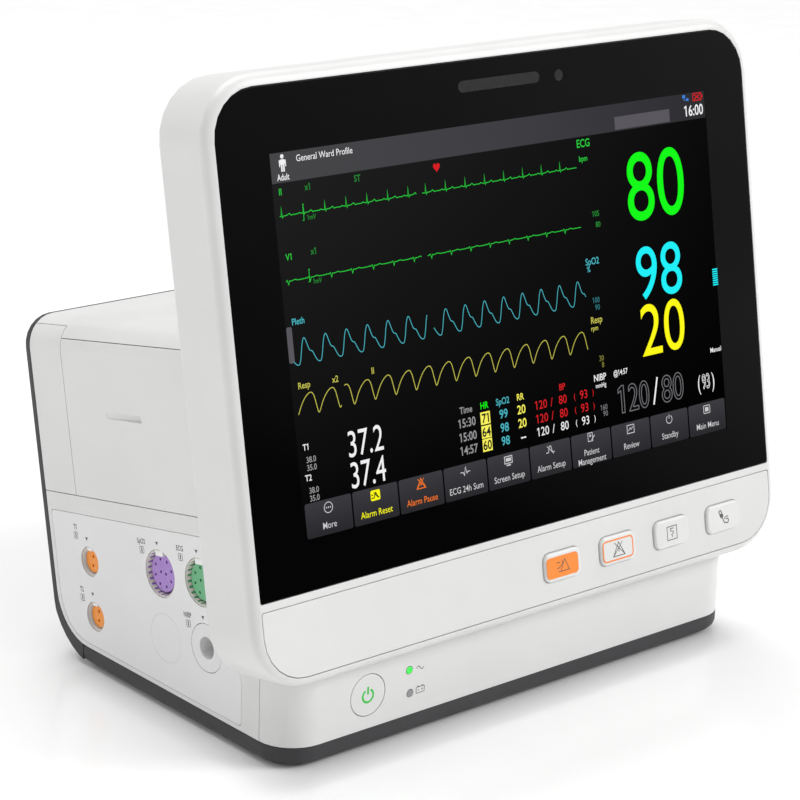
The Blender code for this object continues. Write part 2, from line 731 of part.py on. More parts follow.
POWER_BOARD_FRONT = CHIN_Y + 0.0095
POWER_SWITCH_FACE = CHIN_Y + 0.0070
IN_BOARD = POWER_BOARD_FRONT + 0.0005
LAMP_RADIUS = 0.0012
power_board = block((-0.0930, -0.0480), (POWER_BOARD_FRONT, POWER_BOARD_FRONT + BOARD_THICKNESS), (0.0120, 0.0300))
join(power_board, block((POWER_X - SWITCH_HALF, POWER_X + SWITCH_HALF), (POWER_SWITCH_FACE, IN_BOARD),
                        (POWER_Z - SWITCH_HALF, POWER_Z + SWITCH_HALF)))
join(power_board, *[rod(place, LAMP_RADIUS, "Y", PIPE_BACK + GAP, IN_BOARD, 10) for place in LIGHTS])
node("power_board", power_board, BODY, BOARD)


# Base and rear cover

FOOT_PLACES = [(x, y) for x in (-0.0950, 0.0950) for y in (0.0120, 0.0960)]
BASE_SCREW_PLACES = [(-0.0620, 0.0540), (0.0620, 0.0200)]
BASE_SCREW_LENGTH = 0.0145
FOOT_RADIUS = 0.0080
FOOT_SOLE_RADIUS = 0.0072
FOOT_TOP = FOOT_PROUD + 0.0012
PILLAR_RADIUS = 0.0060
FRAME_BOTTOM = 0.0120


def base_plate():
    rings = []
    for step in range(4):
        angle = step * math.pi / 6
        inset = BASE_ROUNDING * (1 - math.sin(angle))
        level = BASE_BOTTOM + BASE_ROUNDING * (1 - math.cos(angle))
        rings.append(lay(plan_outline(inset, BASE_REAR_Y - GAP / 2), "Z", level))
    rings.append(lay(plan_outline(0.0, BASE_REAR_Y - GAP / 2), "Z", BASE_TOP))
    tray = loft(rings)
    ahead = -0.05
    just_below = BASE_BOTTOM - 0.0001
    sweep = [
        (ahead, just_below, 0.0),
        (depth_at_level(REAR_DEPTH, BASE_BOTTOM), just_below, REAR_OUTER_ROUNDING),
        (*side_point(REAR_DEPTH, 0.0), 0.0),
        (ahead, 0.20, 0.0),
    ]
    side_wall = 0.0045
    screw_seat = BASE_BOTTOM + 0.0024
    keep(tray, prism(rounded(sweep, 8), "X", -BEYOND, BEYOND))
    cut(tray, prism(plan_outline(side_wall, BASE_REAR_Y - WALL), "Z", BASE_BOTTOM + WALL, BEYOND))
    for place in FOOT_PLACES:
        cut(tray, rod(place, FOOT_RADIUS + GAP, "Z", -BEYOND, FOOT_TOP + GAP, 20))
    for place in BASE_SCREW_PLACES:
        join(tray, rod(place, PILLAR_RADIUS, "Z", BASE_BOTTOM + GAP, FRAME_BOTTOM - 0.0004, 14))
        cut(tray, rod(place, SCREW_HEAD_RADIUS + 2 * GAP, "Z", -BEYOND, screw_seat, 14))
        cut(tray, rod(place, PILOT_RADIUS, "Z", -BEYOND, BEYOND, 10))
    return tray


node("base_plate", base_plate(), BODY, DARK)

for index, (x, y) in enumerate(FOOT_PLACES):
    foot = loft([
        lay(circle(0, 0, FOOT_SOLE_RADIUS, 20), "Z", 0),
        lay(circle(0, 0, FOOT_RADIUS, 20), "Z", FOOT_PROUD / 2),
        lay(circle(0, 0, FOOT_RADIUS, 20), "Z", FOOT_TOP),
    ])
    node(f"foot_{index + 1}", foot, BODY @ Matrix.Translation((x, y, 0)), RUBBER)

for index, (x, y) in enumerate(BASE_SCREW_PLACES):
    upright = Matrix.Translation((x, y, BASE_BOTTOM + 0.0004)) @ Matrix.Rotation(math.pi / 2, 4, "X")
    node(f"base_screw_{index + 1}", screw(BASE_SCREW_LENGTH), BODY @ upright, STEEL)


INLET = (0.0720, 0.0500)
NETWORK = (-0.0150, 0.0480)
USB = (0.0150, 0.0480)
STUD = (-0.0800, -0.0850)
SPEAKER = (-0.0560, -0.0300)
INLET_HALF = (0.0137, 0.0102)
NETWORK_HALF = (0.0079, 0.0067)
USB_HALF = (0.0069, 0.0077)
STUD_RADIUS = 0.0032
GRILLE_RADIUS = 0.0225
GRILLE_PITCH = 0.0060
GRILLE_SLOT_HALF = 0.0012


def rear_port(place, half):
    """A level cutter through the leaning rear wall, at a BODY (x, z) place."""
    spare = 2 * GAP
    x, z = place
    half_width = half[0] + spare
    half_height = half[1] + spare
    return block((x - half_width, x + half_width), (BASE_REAR_Y, BEYOND), (z - half_height, z + half_height))


def rear_cover():
    outer_low = BASE_BOTTOM
    inner_low = BASE_TOP + GAP
    inner = REAR_SEAM_DEPTH + GAP / 2
    front = BASE_REAR_Y + GAP / 2
    ahead = 0.08
    above = BODY_TOP + 0.01
    corners = [
        (ahead, outer_low, 0.0),
        (depth_at_level(REAR_DEPTH, outer_low), outer_low, REAR_OUTER_ROUNDING),
        (*side_point(REAR_DEPTH, above), 0.0),
        (*side_point(inner, above), 0.0),
        (depth_at_level(inner, inner_low), inner_low, REAR_INNER_ROUNDING),
        (ahead, inner_low, 0.0),
    ]
    cover = prism(rounded(corners, 8), "X", -BEYOND, BEYOND)
    cut(cover, block((-BEYOND, BEYOND), (0.0, front), (-BEYOND, BEYOND)))

    def outline(inset):
        width = BODY_HALF_WIDTH - inset
        points = [
            (-width, -BEYOND, 0.0),
            (width, -BEYOND, 0.0),
            (width, BODY_TOP - inset, BODY_CORNER - inset),
            (-width, BODY_TOP - inset, BODY_CORNER - inset),
        ]
        return rounded(points, 6)

    edge = 0.0015
    counterbore_depth = 0.0018
    envelope = loft([
        lay(outline(0.0), "Y", 0.05),
        lay(outline(0.0), "Y", REAR_DEPTH - edge),
        lay(outline(edge * 0.3), "Y", REAR_DEPTH - edge * 0.3),
        lay(outline(edge), "Y", REAR_DEPTH + 0.0001),
    ])
    keep(cover, tilted(envelope))
    cut(cover, rear_port(INLET, INLET_HALF))
    cut(cover, rear_port(NETWORK, NETWORK_HALF))
    cut(cover, rear_port(USB, USB_HALF))
    cut(cover, tilted(rod(STUD, STUD_RADIUS + GAP, "Y", POST_FRONT, BEYOND, 12)))
    for row in range(-3, 4):
        height = SPEAKER[1] + row * GRILLE_PITCH
        half = math.sqrt(GRILLE_RADIUS ** 2 - (row * GRILLE_PITCH) ** 2)
        slot = block((SPEAKER[0] - half, SPEAKER[0] + half), (POST_FRONT, BEYOND),
                     (height - GRILLE_SLOT_HALF, height + GRILLE_SLOT_HALF))
        cut(cover, tilted(slot))
    for sign in (-1, 1):
        for height in (REAR_SCREW_UPPER, REAR_SCREW_LOWER):
            cut(cover, tilted(rear_screw_hole(sign, height)))
            counterbore = rod((sign * REAR_SCREW_X, height), SCREW_HEAD_RADIUS + 0.0004, "Y",
                              REAR_DEPTH - counterbore_depth, BEYOND, 12)
            cut(cover, tilted(counterbore))
    return cover


node("rear_cover", rear_cover(), BODY, DARK)

screw_count = 0
for sign in (-1, 1):
    for height in (REAR_SCREW_UPPER, REAR_SCREW_LOWER):
        screw_count += 1
        turned = Matrix.Translation((sign * REAR_SCREW_X, REAR_DEPTH - 0.0001, height))
        spin = Matrix.Rotation(math.pi, 4, "Z")
        node(f"rear_screw_{screw_count}", screw(REAR_SCREW_LENGTH, 0.0013), HEAD @ turned @ spin, STEEL)


# Sockets on the left side

SOCKET_DEPTH = 0.0130
PLUG_GAP_DEPTH = 0.0050


def socket(radius, pins):
    """A round female socket, its face at the origin looking along -X, with its keyed gap round an insert."""
    face = 0.0006
    lip = 0.0006
    insert_radius = radius * 0.80
    insert_face = 0.0016
    pin_radius = 0.00065
    shell = rod((0, 0), radius, "X", face, SOCKET_DEPTH, 24)
    plug_gap = rod((0, 0), radius - lip, "X", -BEYOND, PLUG_GAP_DEPTH, 24)
    cut(plug_gap, rod((0, 0), insert_radius, "X", -2 * BEYOND, BEYOND, 24))
    cut(shell, plug_gap)
    cut(shell, rod((0, 0), radius * 0.85, "X", -BEYOND, insert_face, 24))
    for across, up in pins:
        cut(shell, rod((across, up), pin_radius, "X", -BEYOND, PLUG_GAP_DEPTH, 6))
    return shell


def pin_circle(radius, count, start=0.0):
    return [(radius * math.cos(start + 2 * math.pi * k / count), radius * math.sin(start + 2 * math.pi * k / count))
            for k in range(count)]


TWO_PINS = [(0, 0.0019), (0, -0.0019)]
TEN_PINS = pin_circle(0.0053, 8, math.pi / 8) + [(-0.0016, 0.0), (0.0016, 0.0)]
SOCKET_PINS = {
    "temperature_socket_1": (TWO_PINS, ORANGE),
    "temperature_socket_2": (TWO_PINS, ORANGE),
    "spo2_socket": (TEN_PINS, PURPLE),
    "ecg_socket": (TEN_PINS, GREEN),
}


def on_left_side(depth, height):
    y, z = side_point(depth, height)
    return BODY @ Matrix.Translation((-BODY_HALF_WIDTH, y, z))


for socket_name, (pins, finish) in SOCKET_PINS.items():
    depth, height, radius = SOCKETS[socket_name]
    node(socket_name, socket(radius, pins), on_left_side(depth, height), finish)

depth, height, radius = SOCKETS["pressure_blank"]
BLANK_THICKNESS = 0.0040
plug = rod((0, 0), radius, "X", 0, BLANK_THICKNESS, 24)
node("pressure_blank", plug, on_left_side(depth, height), WHITE)

depth, height, radius = SOCKETS["cuff_port"]
CUFF_BORE_RADIUS = 0.0043
CUFF_BORE_DEPTH = 0.0105
port = rod((0, 0), radius, "X", 0, SOCKET_DEPTH, 24)
cut(port, rod((0, 0), CUFF_BORE_RADIUS, "X", -BEYOND, CUFF_BORE_DEPTH, 20))
node("cuff_port", port, on_left_side(depth, height), WHITE)


# Inside the body

def main_frame():
    """A folded steel frame: a deck over the base and an upright behind the head."""
    half_width = 0.1050
    deck_front = 0.0020
    deck_rear = 0.1180
    upright_front = HEAD_BACK_DEPTH + 0.0020
    upright_low = -0.1420
    upright_top = -0.0050
    cable_half = 0.0320
    cable_slot = (-0.0780, -0.0580)
    everywhere = (-BEYOND, BEYOND)
    deck = block((-half_width, half_width), (deck_front, deck_rear), (FRAME_BOTTOM, FRAME_BOTTOM + SHEET))
    join(deck, tilted(block((-half_width, half_width), (upright_front, upright_front + SHEET),
                            (upright_low, upright_top))))
    cut(deck, tilted(block((-cable_half, cable_half), (upright_front - 0.01, upright_front + 0.01), cable_slot)))
    cut(deck, block(everywhere, everywhere, (-BEYOND, FRAME_BOTTOM)))
    cut(deck, tilted(head_shape(GAP)))
    for place in BASE_SCREW_PLACES:
        cut(deck, rod(place, PILOT_RADIUS, "Z", 0.0, 2 * FRAME_BOTTOM, 10))
    return deck


node("main_frame", main_frame(), BODY, STEEL)

MAIN_BOARD_FRONT = 0.0440
ON_MAIN_BOARD = MAIN_BOARD_FRONT + BOARD_THICKNESS - 0.0006
board = block((-0.0640, 0.0560), (MAIN_BOARD_FRONT, MAIN_BOARD_FRONT + BOARD_THICKNESS), (-0.0950, -0.0080))
heat_sink = block((-0.0200, 0.0150), (ON_MAIN_BOARD, 0.0495), (-0.0550, -0.0200))
cable_header = block((-0.0580, -0.0400), (ON_MAIN_BOARD, 0.0520), (-0.0850, -0.0700))
card_socket = block((0.0250, 0.0480), (ON_MAIN_BOARD, 0.0540), (-0.0880, -0.0600))
join(board, heat_sink, cable_header, card_socket)
node("main_board", board, HEAD, BOARD)

SUPPLY_BOTTOM = 0.0150
ON_SUPPLY = SUPPLY_BOTTOM + BOARD_THICKNESS - 0.0006
supply = block((-0.0280, 0.0400), (0.0620, 0.1180), (SUPPLY_BOTTOM, SUPPLY_BOTTOM + BOARD_THICKNESS))
transformer = block((-0.0180, 0.0080), (0.0680, 0.0960), (ON_SUPPLY, 0.0400))
main_capacitor = rod((0.0260, 0.0800), 0.0090, "Z", ON_SUPPLY, 0.0440, 16)
filter_coil = block((0.0140, 0.0360), (0.0980, 0.1120), (ON_SUPPLY, 0.0300))
join(supply, transformer, main_capacitor, filter_coil)
node("power_supply", supply, BODY, BOARD)

BATTERY_CLEARANCE = 0.0020
pack = block((0.0460, 0.1140), (BATTERY_NEAR + BATTERY_CLEARANCE, BATTERY_FAR - BATTERY_CLEARANCE),
             (0.0150, 0.0385), 0.002)
node("battery_pack", pack, BODY, BATTERY)

MODULE_INNER_SIDE = -0.0660
MODULE_OUTER_SIDE = SOCKET_DEPTH + GAP - BODY_HALF_WIDTH
module = tilted(block((MODULE_OUTER_SIDE, MODULE_INNER_SIDE), (MAIN_BOARD_FRONT, 0.1420), (-0.1210, -0.0750), 0.001))
cut(module, block((-BEYOND, BEYOND), (-BEYOND, BEYOND), (-BEYOND, SUPPLY_BOTTOM)))
node("parameter_module", module, BODY, BLACK)

PUMP_X = -0.0480
pump = rod((PUMP_X, 0.0300), 0.0130, "Y", 0.0640, 0.1050, 20)
pump_head = block((PUMP_X - 0.0130, PUMP_X + 0.0130), (0.1040, 0.1200), (0.0170, 0.0430), 0.002)
pump_nozzle = rod((PUMP_X, 0.0400), 0.0022, "Y", 0.1190, 0.1270, 10)
join(pump, pump_head, pump_nozzle)
node("cuff_pump", pump, BODY, BLACK)

SPEAKER_PROFILE = ((0.0120, 0.1360), (0.0120, 0.1420), (0.0235, 0.1510), (0.0250, 0.1536))
speaker = loft([lay(circle(*SPEAKER, radius, 20), "Y", depth) for radius, depth in SPEAKER_PROFILE])
node("speaker", speaker, HEAD, BLACK)


# Rear connectors

REAR_REACH = 0.1500


def leaning_face(solid):
    """Trims a level connector to the leaning rear face."""
    everywhere = (-BEYOND, BEYOND)
    return cut(solid, tilted(block(everywhere, (REAR_DEPTH - 0.0004, BEYOND), everywhere)))


def inlet():
    x, z = INLET
    half_width, half_height = INLET_HALF
    wall = 0.0017
    back = 0.1120
    cavity_back = 0.1230
    blade_end = 0.1350
    body = block((x - half_width, x + half_width), (back, REAR_REACH), (z - half_height, z + half_height), 0.002)
    leaning_face(body)
    cut(body, block((x - half_width + wall, x + half_width - wall), (cavity_back, BEYOND),
                    (z - half_height + wall, z + half_height - wall), 0.003))
    for across, up in ((-0.0070, 0.0005), (0.0070, 0.0005), (0.0, 0.0045)):
        blade = block((x + across - 0.0010, x + across + 0.0010), (cavity_back - 0.0010, blade_end),
                      (z + up - 0.0020, z + up + 0.0020))
        join(body, blade)
    return body


node("power_inlet", inlet(), BODY, BLACK)

def interface_board():
    """The network and twin USB jacks on their common board."""
    x, z = NETWORK
    u, w = USB
    jack_back = 0.1240
    bore_back = 0.1270
    usb_level = 0.0037
    board = block((x - NETWORK_HALF[0], x + NETWORK_HALF[0]), (jack_back, REAR_REACH),
                  (z - NETWORK_HALF[1], z + NETWORK_HALF[1]))
    join(board, block((u - USB_HALF[0], u + USB_HALF[0]), (jack_back, REAR_REACH),
                      (w - USB_HALF[1], w + USB_HALF[1])))
    leaning_face(board)
    join(board, block((x - 0.0110, u + 0.0100), (0.1180, 0.1265), (z - 0.0100, z - 0.0060)))
    for half_width, top in ((0.0060, 0.0032), (0.0030, 0.0052)):
        cut(board, block((x - half_width, x + half_width), (bore_back, BEYOND), (z - 0.0048, z + top)))
    for middle in (w - usb_level, w + usb_level):
        cut(board, block((u - 0.0061, u + 0.0061), (bore_back, BEYOND), (middle - 0.0024, middle + 0.0024)))
        join(board, block((u - 0.0055, u + 0.0055), (bore_back - 0.0005, 0.1340),
                          (middle + 0.0002, middle + 0.0020)))
    return board


node("interface_board", interface_board(), BODY, STEEL)

STUD_FRONT = 0.1480
stud = rod(STUD, STUD_RADIUS, "Y", STUD_FRONT, REAR_DEPTH + 0.0020, 12)
join(stud, rod(STUD, 0.0060, "Y", STUD_FRONT, STUD_FRONT + 0.0040, 6))
node("earth_stud", stud, HEAD, BRASS)


# Recorder in the right side

LEAF_THICKNESS = 0.0026
HINGE_X = BODY_HALF_WIDTH - LEAF_THICKNESS / 2
HINGE_Z = RECORDER_LOW + LEAF_THICKNESS / 2
DOOR_WIDTH = RECORDER_FAR - RECORDER_NEAR
PAPER_SLOT = 0.0008
PLATEN = (0.1060, -0.0210)
PLATEN_RADIUS = 0.0045
SPINDLE_RADIUS = 0.0015
ROLL = (0.0890, -0.0390)
ROLL_RADIUS = 0.0130
ROLL_CORE_RADIUS = 0.0050
ROLL_ENDS = (0.0030, 0.0530)
ARM_THICKNESS = 0.0020
TUB_WALL = 0.0018
TUB_CLEARANCE = 0.0012
TUB_BACK = 0.0700

tub = block((TUB_BACK, BODY_HALF_WIDTH - WALL - GAP),
            (RECORDER_NEAR - TUB_CLEARANCE - TUB_WALL, RECORDER_FAR + TUB_CLEARANCE + TUB_WALL),
            (RECORDER_LOW - TUB_CLEARANCE - TUB_WALL, RECORDER_HIGH + TUB_CLEARANCE + TUB_WALL))
cut(tub, block((TUB_BACK + TUB_WALL, BEYOND), (RECORDER_NEAR - TUB_CLEARANCE, RECORDER_FAR + TUB_CLEARANCE),
               (RECORDER_LOW - TUB_CLEARANCE, RECORDER_HIGH + TUB_CLEARANCE)))
node("recorder_tub", tub, HEAD, BLACK)

HEAD_END_SPACE = 0.0040
print_head = block((0.0940, 0.1010), (RECORDER_NEAR + HEAD_END_SPACE, RECORDER_FAR - HEAD_END_SPACE),
                   (-0.0230, -0.0130), 0.001)
node("print_head", print_head, HEAD, STEEL)

leaf = hinged_leaf(DOOR_WIDTH, RECORDER_HIGH - RECORDER_LOW - LEAF_THICKNESS / 2 - PAPER_SLOT, LEAF_THICKNESS)
spindle = (PLATEN[0] - HINGE_X, PLATEN[1] - HINGE_Z)
arm_high = spindle[1] + 0.0035
arm_low = spindle[1] - 0.0080
arm_depth = spindle[0] - 0.0035
for near in (PAPER_SLOT, DOOR_WIDTH - PAPER_SLOT - ARM_THICKNESS):
    join(leaf, block((arm_depth, 0.0), (near, near + ARM_THICKNESS), (arm_low, arm_high)))
cut(leaf, rod(spindle, SPINDLE_RADIUS + GAP, "Y", -BEYOND, BEYOND, 12))
cut(leaf, grip_slot(DOOR_WIDTH / 2, 0.0120, 0.0360, 0.0390, 0.0006))
node("recorder_door", leaf, HEAD @ Matrix.Translation((HINGE_X, RECORDER_NEAR, HINGE_Z)), WHITE)

PLATEN_END = 0.0034
SPINDLE_END = 0.0010
platen = rod((0, 0), PLATEN_RADIUS, "Y", PLATEN_END, DOOR_WIDTH - PLATEN_END, 20)
join(platen, rod((0, 0), SPINDLE_RADIUS, "Y", SPINDLE_END, DOOR_WIDTH - SPINDLE_END, 12))
node("platen_roller", platen, HEAD @ Matrix.Translation((PLATEN[0], RECORDER_NEAR, PLATEN[1])), RUBBER)

roll = rod((0, 0), ROLL_RADIUS, "Y", *ROLL_ENDS, 24)
for end in ROLL_ENDS:
    cut(roll, rod((0, 0), ROLL_CORE_RADIUS, "Y", end - 0.0020, end + 0.0020, 16))
node("paper_roll", roll, HEAD @ Matrix.Translation((ROLL[0], RECORDER_NEAR, ROLL[1])), PAPER)
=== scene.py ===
import json
import math

import bmesh
import bpy
from mathutils import Matrix, Vector

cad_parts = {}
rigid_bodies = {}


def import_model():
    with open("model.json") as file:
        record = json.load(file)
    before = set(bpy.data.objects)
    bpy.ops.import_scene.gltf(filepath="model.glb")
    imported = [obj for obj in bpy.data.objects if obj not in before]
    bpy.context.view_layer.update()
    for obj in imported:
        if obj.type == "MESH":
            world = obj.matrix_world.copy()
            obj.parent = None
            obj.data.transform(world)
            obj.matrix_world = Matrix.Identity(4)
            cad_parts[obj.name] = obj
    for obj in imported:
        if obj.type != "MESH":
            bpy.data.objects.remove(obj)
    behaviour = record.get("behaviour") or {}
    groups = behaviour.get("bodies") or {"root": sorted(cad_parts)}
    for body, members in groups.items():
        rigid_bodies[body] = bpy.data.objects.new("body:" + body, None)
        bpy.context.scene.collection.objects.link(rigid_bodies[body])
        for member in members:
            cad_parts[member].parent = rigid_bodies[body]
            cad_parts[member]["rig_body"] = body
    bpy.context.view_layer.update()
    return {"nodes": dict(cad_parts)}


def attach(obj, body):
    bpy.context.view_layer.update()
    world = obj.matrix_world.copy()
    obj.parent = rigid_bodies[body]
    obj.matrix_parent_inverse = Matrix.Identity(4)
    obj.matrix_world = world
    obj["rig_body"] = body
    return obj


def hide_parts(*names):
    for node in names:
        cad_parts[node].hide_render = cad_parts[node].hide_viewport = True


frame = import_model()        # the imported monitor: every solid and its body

nodes = frame["nodes"]


# ---- Front housing -------------------------------------------------------------------------
# The display head's front shell is injection-moulded white ABS, painted with a fine soft-touch
# lacquer.  Its rim stands round the glass and takes a small radius on every edge.

def srgb(red, green, blue):
    """A colour as it is read off a swatch, 0 to 255, as the linear values a shader takes."""
    return tuple(c / 12.92 if c <= 0.04045 else ((c + 0.055) / 1.055) ** 2.4
                 for c in (red / 255, green / 255, blue / 255))


def new_finish(name, colour, roughness):
    finish = bpy.data.materials.new(name)
    finish.use_nodes = True
    shader = finish.node_tree.nodes["Principled BSDF"]
    shader.inputs["Base Color"].default_value = (*colour, 1)
    shader.inputs["Roughness"].default_value = roughness
    return finish, finish.node_tree, shader


def noise(tree, scale, detail=2.0, stretch=(1, 1, 1)):
    """A noise on the piece's own coordinates, in features per metre."""
    place = tree.nodes.new("ShaderNodeTexCoord")
    mapping = tree.nodes.new("ShaderNodeMapping")
    mapping.inputs["Scale"].default_value = stretch
    texture = tree.nodes.new("ShaderNodeTexNoise")
    texture.inputs["Scale"].default_value = scale
    texture.inputs["Detail"].default_value = detail
    tree.links.new(place.outputs["Object"], mapping.inputs["Vector"])
    tree.links.new(mapping.outputs["Vector"], texture.inputs["Vector"])
    return texture.outputs["Fac"]


def tone(tree, socket, field, stops):
    """Colour that runs through its stops, (position, colour) pairs, as a field rises."""
    ramp = tree.nodes.new("ShaderNodeValToRGB")
    while len(ramp.color_ramp.elements) < len(stops):
        ramp.color_ramp.elements.new(0.5)
    for stop, (position, colour) in zip(ramp.color_ramp.elements, stops):
        stop.position = position
        stop.color = (*colour, 1)
    tree.links.new(field, ramp.inputs["Fac"])
    tree.links.new(ramp.outputs["Color"], socket)


def between(tree, field, low, high, socket, start=0.3, end=0.7):
    """Spreads a field over the range low to high and feeds it to a shader socket."""
    spread = tree.nodes.new("ShaderNodeMapRange")
    spread.inputs["From Min"].default_value = start
    spread.inputs["From Max"].default_value = end
    spread.inputs["To Min"].default_value = low
    spread.inputs["To Max"].default_value = high
    tree.links.new(field, spread.inputs["Value"])
    tree.links.new(spread.outputs["Result"], socket)


def relief(tree, shader, field, depth):
    bump = tree.nodes.new("ShaderNodeBump")
    bump.inputs["Strength"].default_value = 1.0
    bump.inputs["Distance"].default_value = depth
    tree.links.new(field, bump.inputs["Height"])
    tree.links.new(bump.outputs["Normal"], shader.inputs["Normal"])


def moulded(name, colour, roughness, grain=0.0000025, shine=0.5):
    """Moulded plastic: a spark-eroded grain, a tone that drifts a little, and uneven gloss."""
    finish, tree, shader = new_finish(name, colour, roughness)
    shader.inputs["Specular IOR Level"].default_value = shine
    drift = noise(tree, 28, 3)
    darker = tuple(c * 0.97 for c in colour)
    lighter = tuple(min(1, c * 1.02) for c in colour)
    tone(tree, shader.inputs["Base Color"], drift, ((0.3, darker), (0.7, lighter)))
    between(tree, drift, roughness * 0.92, roughness * 1.08, shader.inputs["Roughness"])
    relief(tree, shader, noise(tree, 2600, 2), grain)
    return finish


def own(name, mesh, finish, body):
    """A finished mesh as a piece of one body, with the finish as its one material."""
    mesh.materials.append(finish)
    piece = bpy.data.objects.new(name, mesh)
    bpy.context.scene.collection.objects.link(piece)
    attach(piece, body)
    return piece


def eased(piece, edge):
    """A small radius on every edge, with flat faces kept flat."""
    bevel = piece.modifiers.new("eased_edges", "BEVEL")
    bevel.width = edge
    bevel.segments = 2
    bevel.limit_method = "ANGLE"
    bevel.angle_limit = math.radians(32)
    even = piece.modifiers.new("even_shading", "WEIGHTED_NORMAL")
    even.keep_sharp = False
    return piece


def finished(node, finish, edge, pierced=False, swell=0.0):
    """The CAD piece with its facets joined, its edges eased and its curves shaded smooth.

    A pierced piece keeps its triangles, because one face cannot hold many holes.  Swell draws
    a piece's outline a little nearer to its neighbours above, below, before and behind."""
    shape = bmesh.new()
    shape.from_mesh(nodes[node].data)
    bmesh.ops.remove_doubles(shape, verts=shape.verts, dist=0.000002)
    if not pierced:
        bmesh.ops.dissolve_limit(shape, angle_limit=math.radians(0.5), verts=shape.verts,
                                 edges=shape.edges)
    for face in shape.faces:
        face.smooth = True
    if swell:
        shape.normal_update()
        for vertex in shape.verts:
            outward = Vector((0, vertex.normal.y, vertex.normal.z)).normalized()
            vertex.co += outward * swell
    mesh = bpy.data.meshes.new(node + "_finish")
    shape.to_mesh(mesh)
    shape.free()
    piece = own(node + "_finish", mesh, finish, nodes[node]["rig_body"])
    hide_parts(node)
    return eased(piece, edge)


white_lacquer = moulded("white_lacquer", srgb(226, 226, 225), 0.36)
finished("front_housing", white_lacquer, 0.0004)


# ---- Cover glass ---------------------------------------------------------------------------
# One sheet of toughened glass, printed black behind its border and bonded into the rim.
# Its gloss is painted: a painted sheen, weakest low on the left and strongest at the upper right.

black_glass, glass_tree, glass_shader = new_finish("black_glass", srgb(5, 5, 6), 0.14)
# painted reflection: the glass's specular level rises with height and towards the right, a painted sheen
glass_place = glass_tree.nodes.new("ShaderNodeTexCoord")
painted_sheen_rise = glass_tree.nodes.new("ShaderNodeVectorMath")
painted_sheen_rise.operation = "DOT_PRODUCT"
painted_sheen_rise.inputs[1].default_value = (2.7, 0, 7.3)
glass_tree.links.new(glass_place.outputs["Object"], painted_sheen_rise.inputs[0])
between(glass_tree, painted_sheen_rise.outputs["Value"], 0.0, 0.20,
        glass_shader.inputs["Specular IOR Level"], 0.5, 2.2)
between(glass_tree, noise(glass_tree, 40, 4), 0.11, 0.18, glass_shader.inputs["Roughness"])
finished("cover_glass", black_glass, 0.0002)


# ---- Alarm lamp and light sensor -----------------------------------------------------------
# Over the picture a smoked window hides the alarm lamp's light guide, and beside it a small
# lens lets daylight through to the sensor that sets the brightness.

tilt = math.radians(10.15)
HEAD = Matrix.Translation((0, -0.06787, 0.1553)) @ Matrix.Rotation(-tilt, 4, "X")
TO_FRONT = Matrix.Rotation(math.pi / 2, 4, "X")


def panel(left, right, low, high, corner=0.0, steps=4):
    """A flat rectangle with round corners, in millimetres."""
    if not corner:
        return [(left, low), (right, low), (right, high), (left, high)], [(0, 1, 2, 3)]
    centres = ((right - corner, high - corner), (left + corner, high - corner),
               (left + corner, low + corner), (right - corner, low + corner))
    points = []
    for quarter, (x, z) in enumerate(centres):
        for step in range(steps + 1):
            angle = (quarter + step / steps) * math.pi / 2
            points.append((x + corner * math.cos(angle), z + corner * math.sin(angle)))
    return points, [tuple(range(len(points)))]


def disc(x, z, radius, sides=28):
    turns = [2 * math.pi * side / sides for side in range(sides)]
    points = [(x + radius * math.cos(turn), z + radius * math.sin(turn)) for turn in turns]
    return points, [tuple(range(sides))]


def sheet(name, finish, shapes, place, body):
    """Flat shapes in millimetres as one thin printed piece facing along +Z of its place."""
    points = []
    faces = []
    for shape_points, shape_faces in shapes:
        start = len(points)
        points += [(x / 1000, z / 1000, 0) for x, z in shape_points]
        faces += [tuple(start + corner for corner in face) for face in shape_faces]
    mesh = bpy.data.meshes.new(name)
    mesh.from_pydata(points, [], faces)
    across = mesh.uv_layers.new(name="across")
    for loop in mesh.loops:
        across.data[loop.index].uv = mesh.vertices[loop.vertex_index].co.xy
    mesh.transform(place)
    return own(name, mesh, finish, body)


PRINT_LIFT = 0.00002


def on_glass(height):
    return HEAD @ Matrix.Translation((0, -height, 0)) @ TO_FRONT


smoked, smoked_tree, smoked_shader = new_finish("smoked_window", srgb(44, 44, 45), 0.22)
smoked_shader.inputs["Specular IOR Level"].default_value = 0.2
tone(smoked_tree, smoked_shader.inputs["Base Color"], noise(smoked_tree, 900, 1, (1, 1, 0.4)),
     ((0.35, srgb(42, 42, 43)), (0.65, srgb(48, 48, 49))))
sheet("alarm_window", smoked, [panel(-20.3, 20.3, 79.9, 84.1, 2.05, 8)], on_glass(PRINT_LIFT),
      "root")

lens_dark, lens_tree, lens_shader = new_finish("sensor_lens", srgb(30, 30, 34), 0.08)
between(lens_tree, noise(lens_tree, 500, 1), 0.05, 0.12, lens_shader.inputs["Roughness"])
sensor_place = (30.3, 81.6)
sheet("sensor_rim", smoked, [disc(*sensor_place, 2.1)], on_glass(PRINT_LIFT), "root")
sheet("sensor_eye", lens_dark, [disc(*sensor_place, 1.2)], on_glass(2 * PRINT_LIFT), "root")


# ---- Display picture -----------------------------------------------------------------------
# The liquid crystal panel behind the glass is lit: waves on the left, large readings on the
# right, a trend table and a row of soft keys below.  Each colour is one layer of lit points.

PICTURE_LEFT = -108.7
PICTURE_RIGHT = 108.4
PICTURE_FOOT = -67.9
PICTURE_TOP = 67.9
HEADER_FOOT = 57.5
TILE_TOP = -55.3


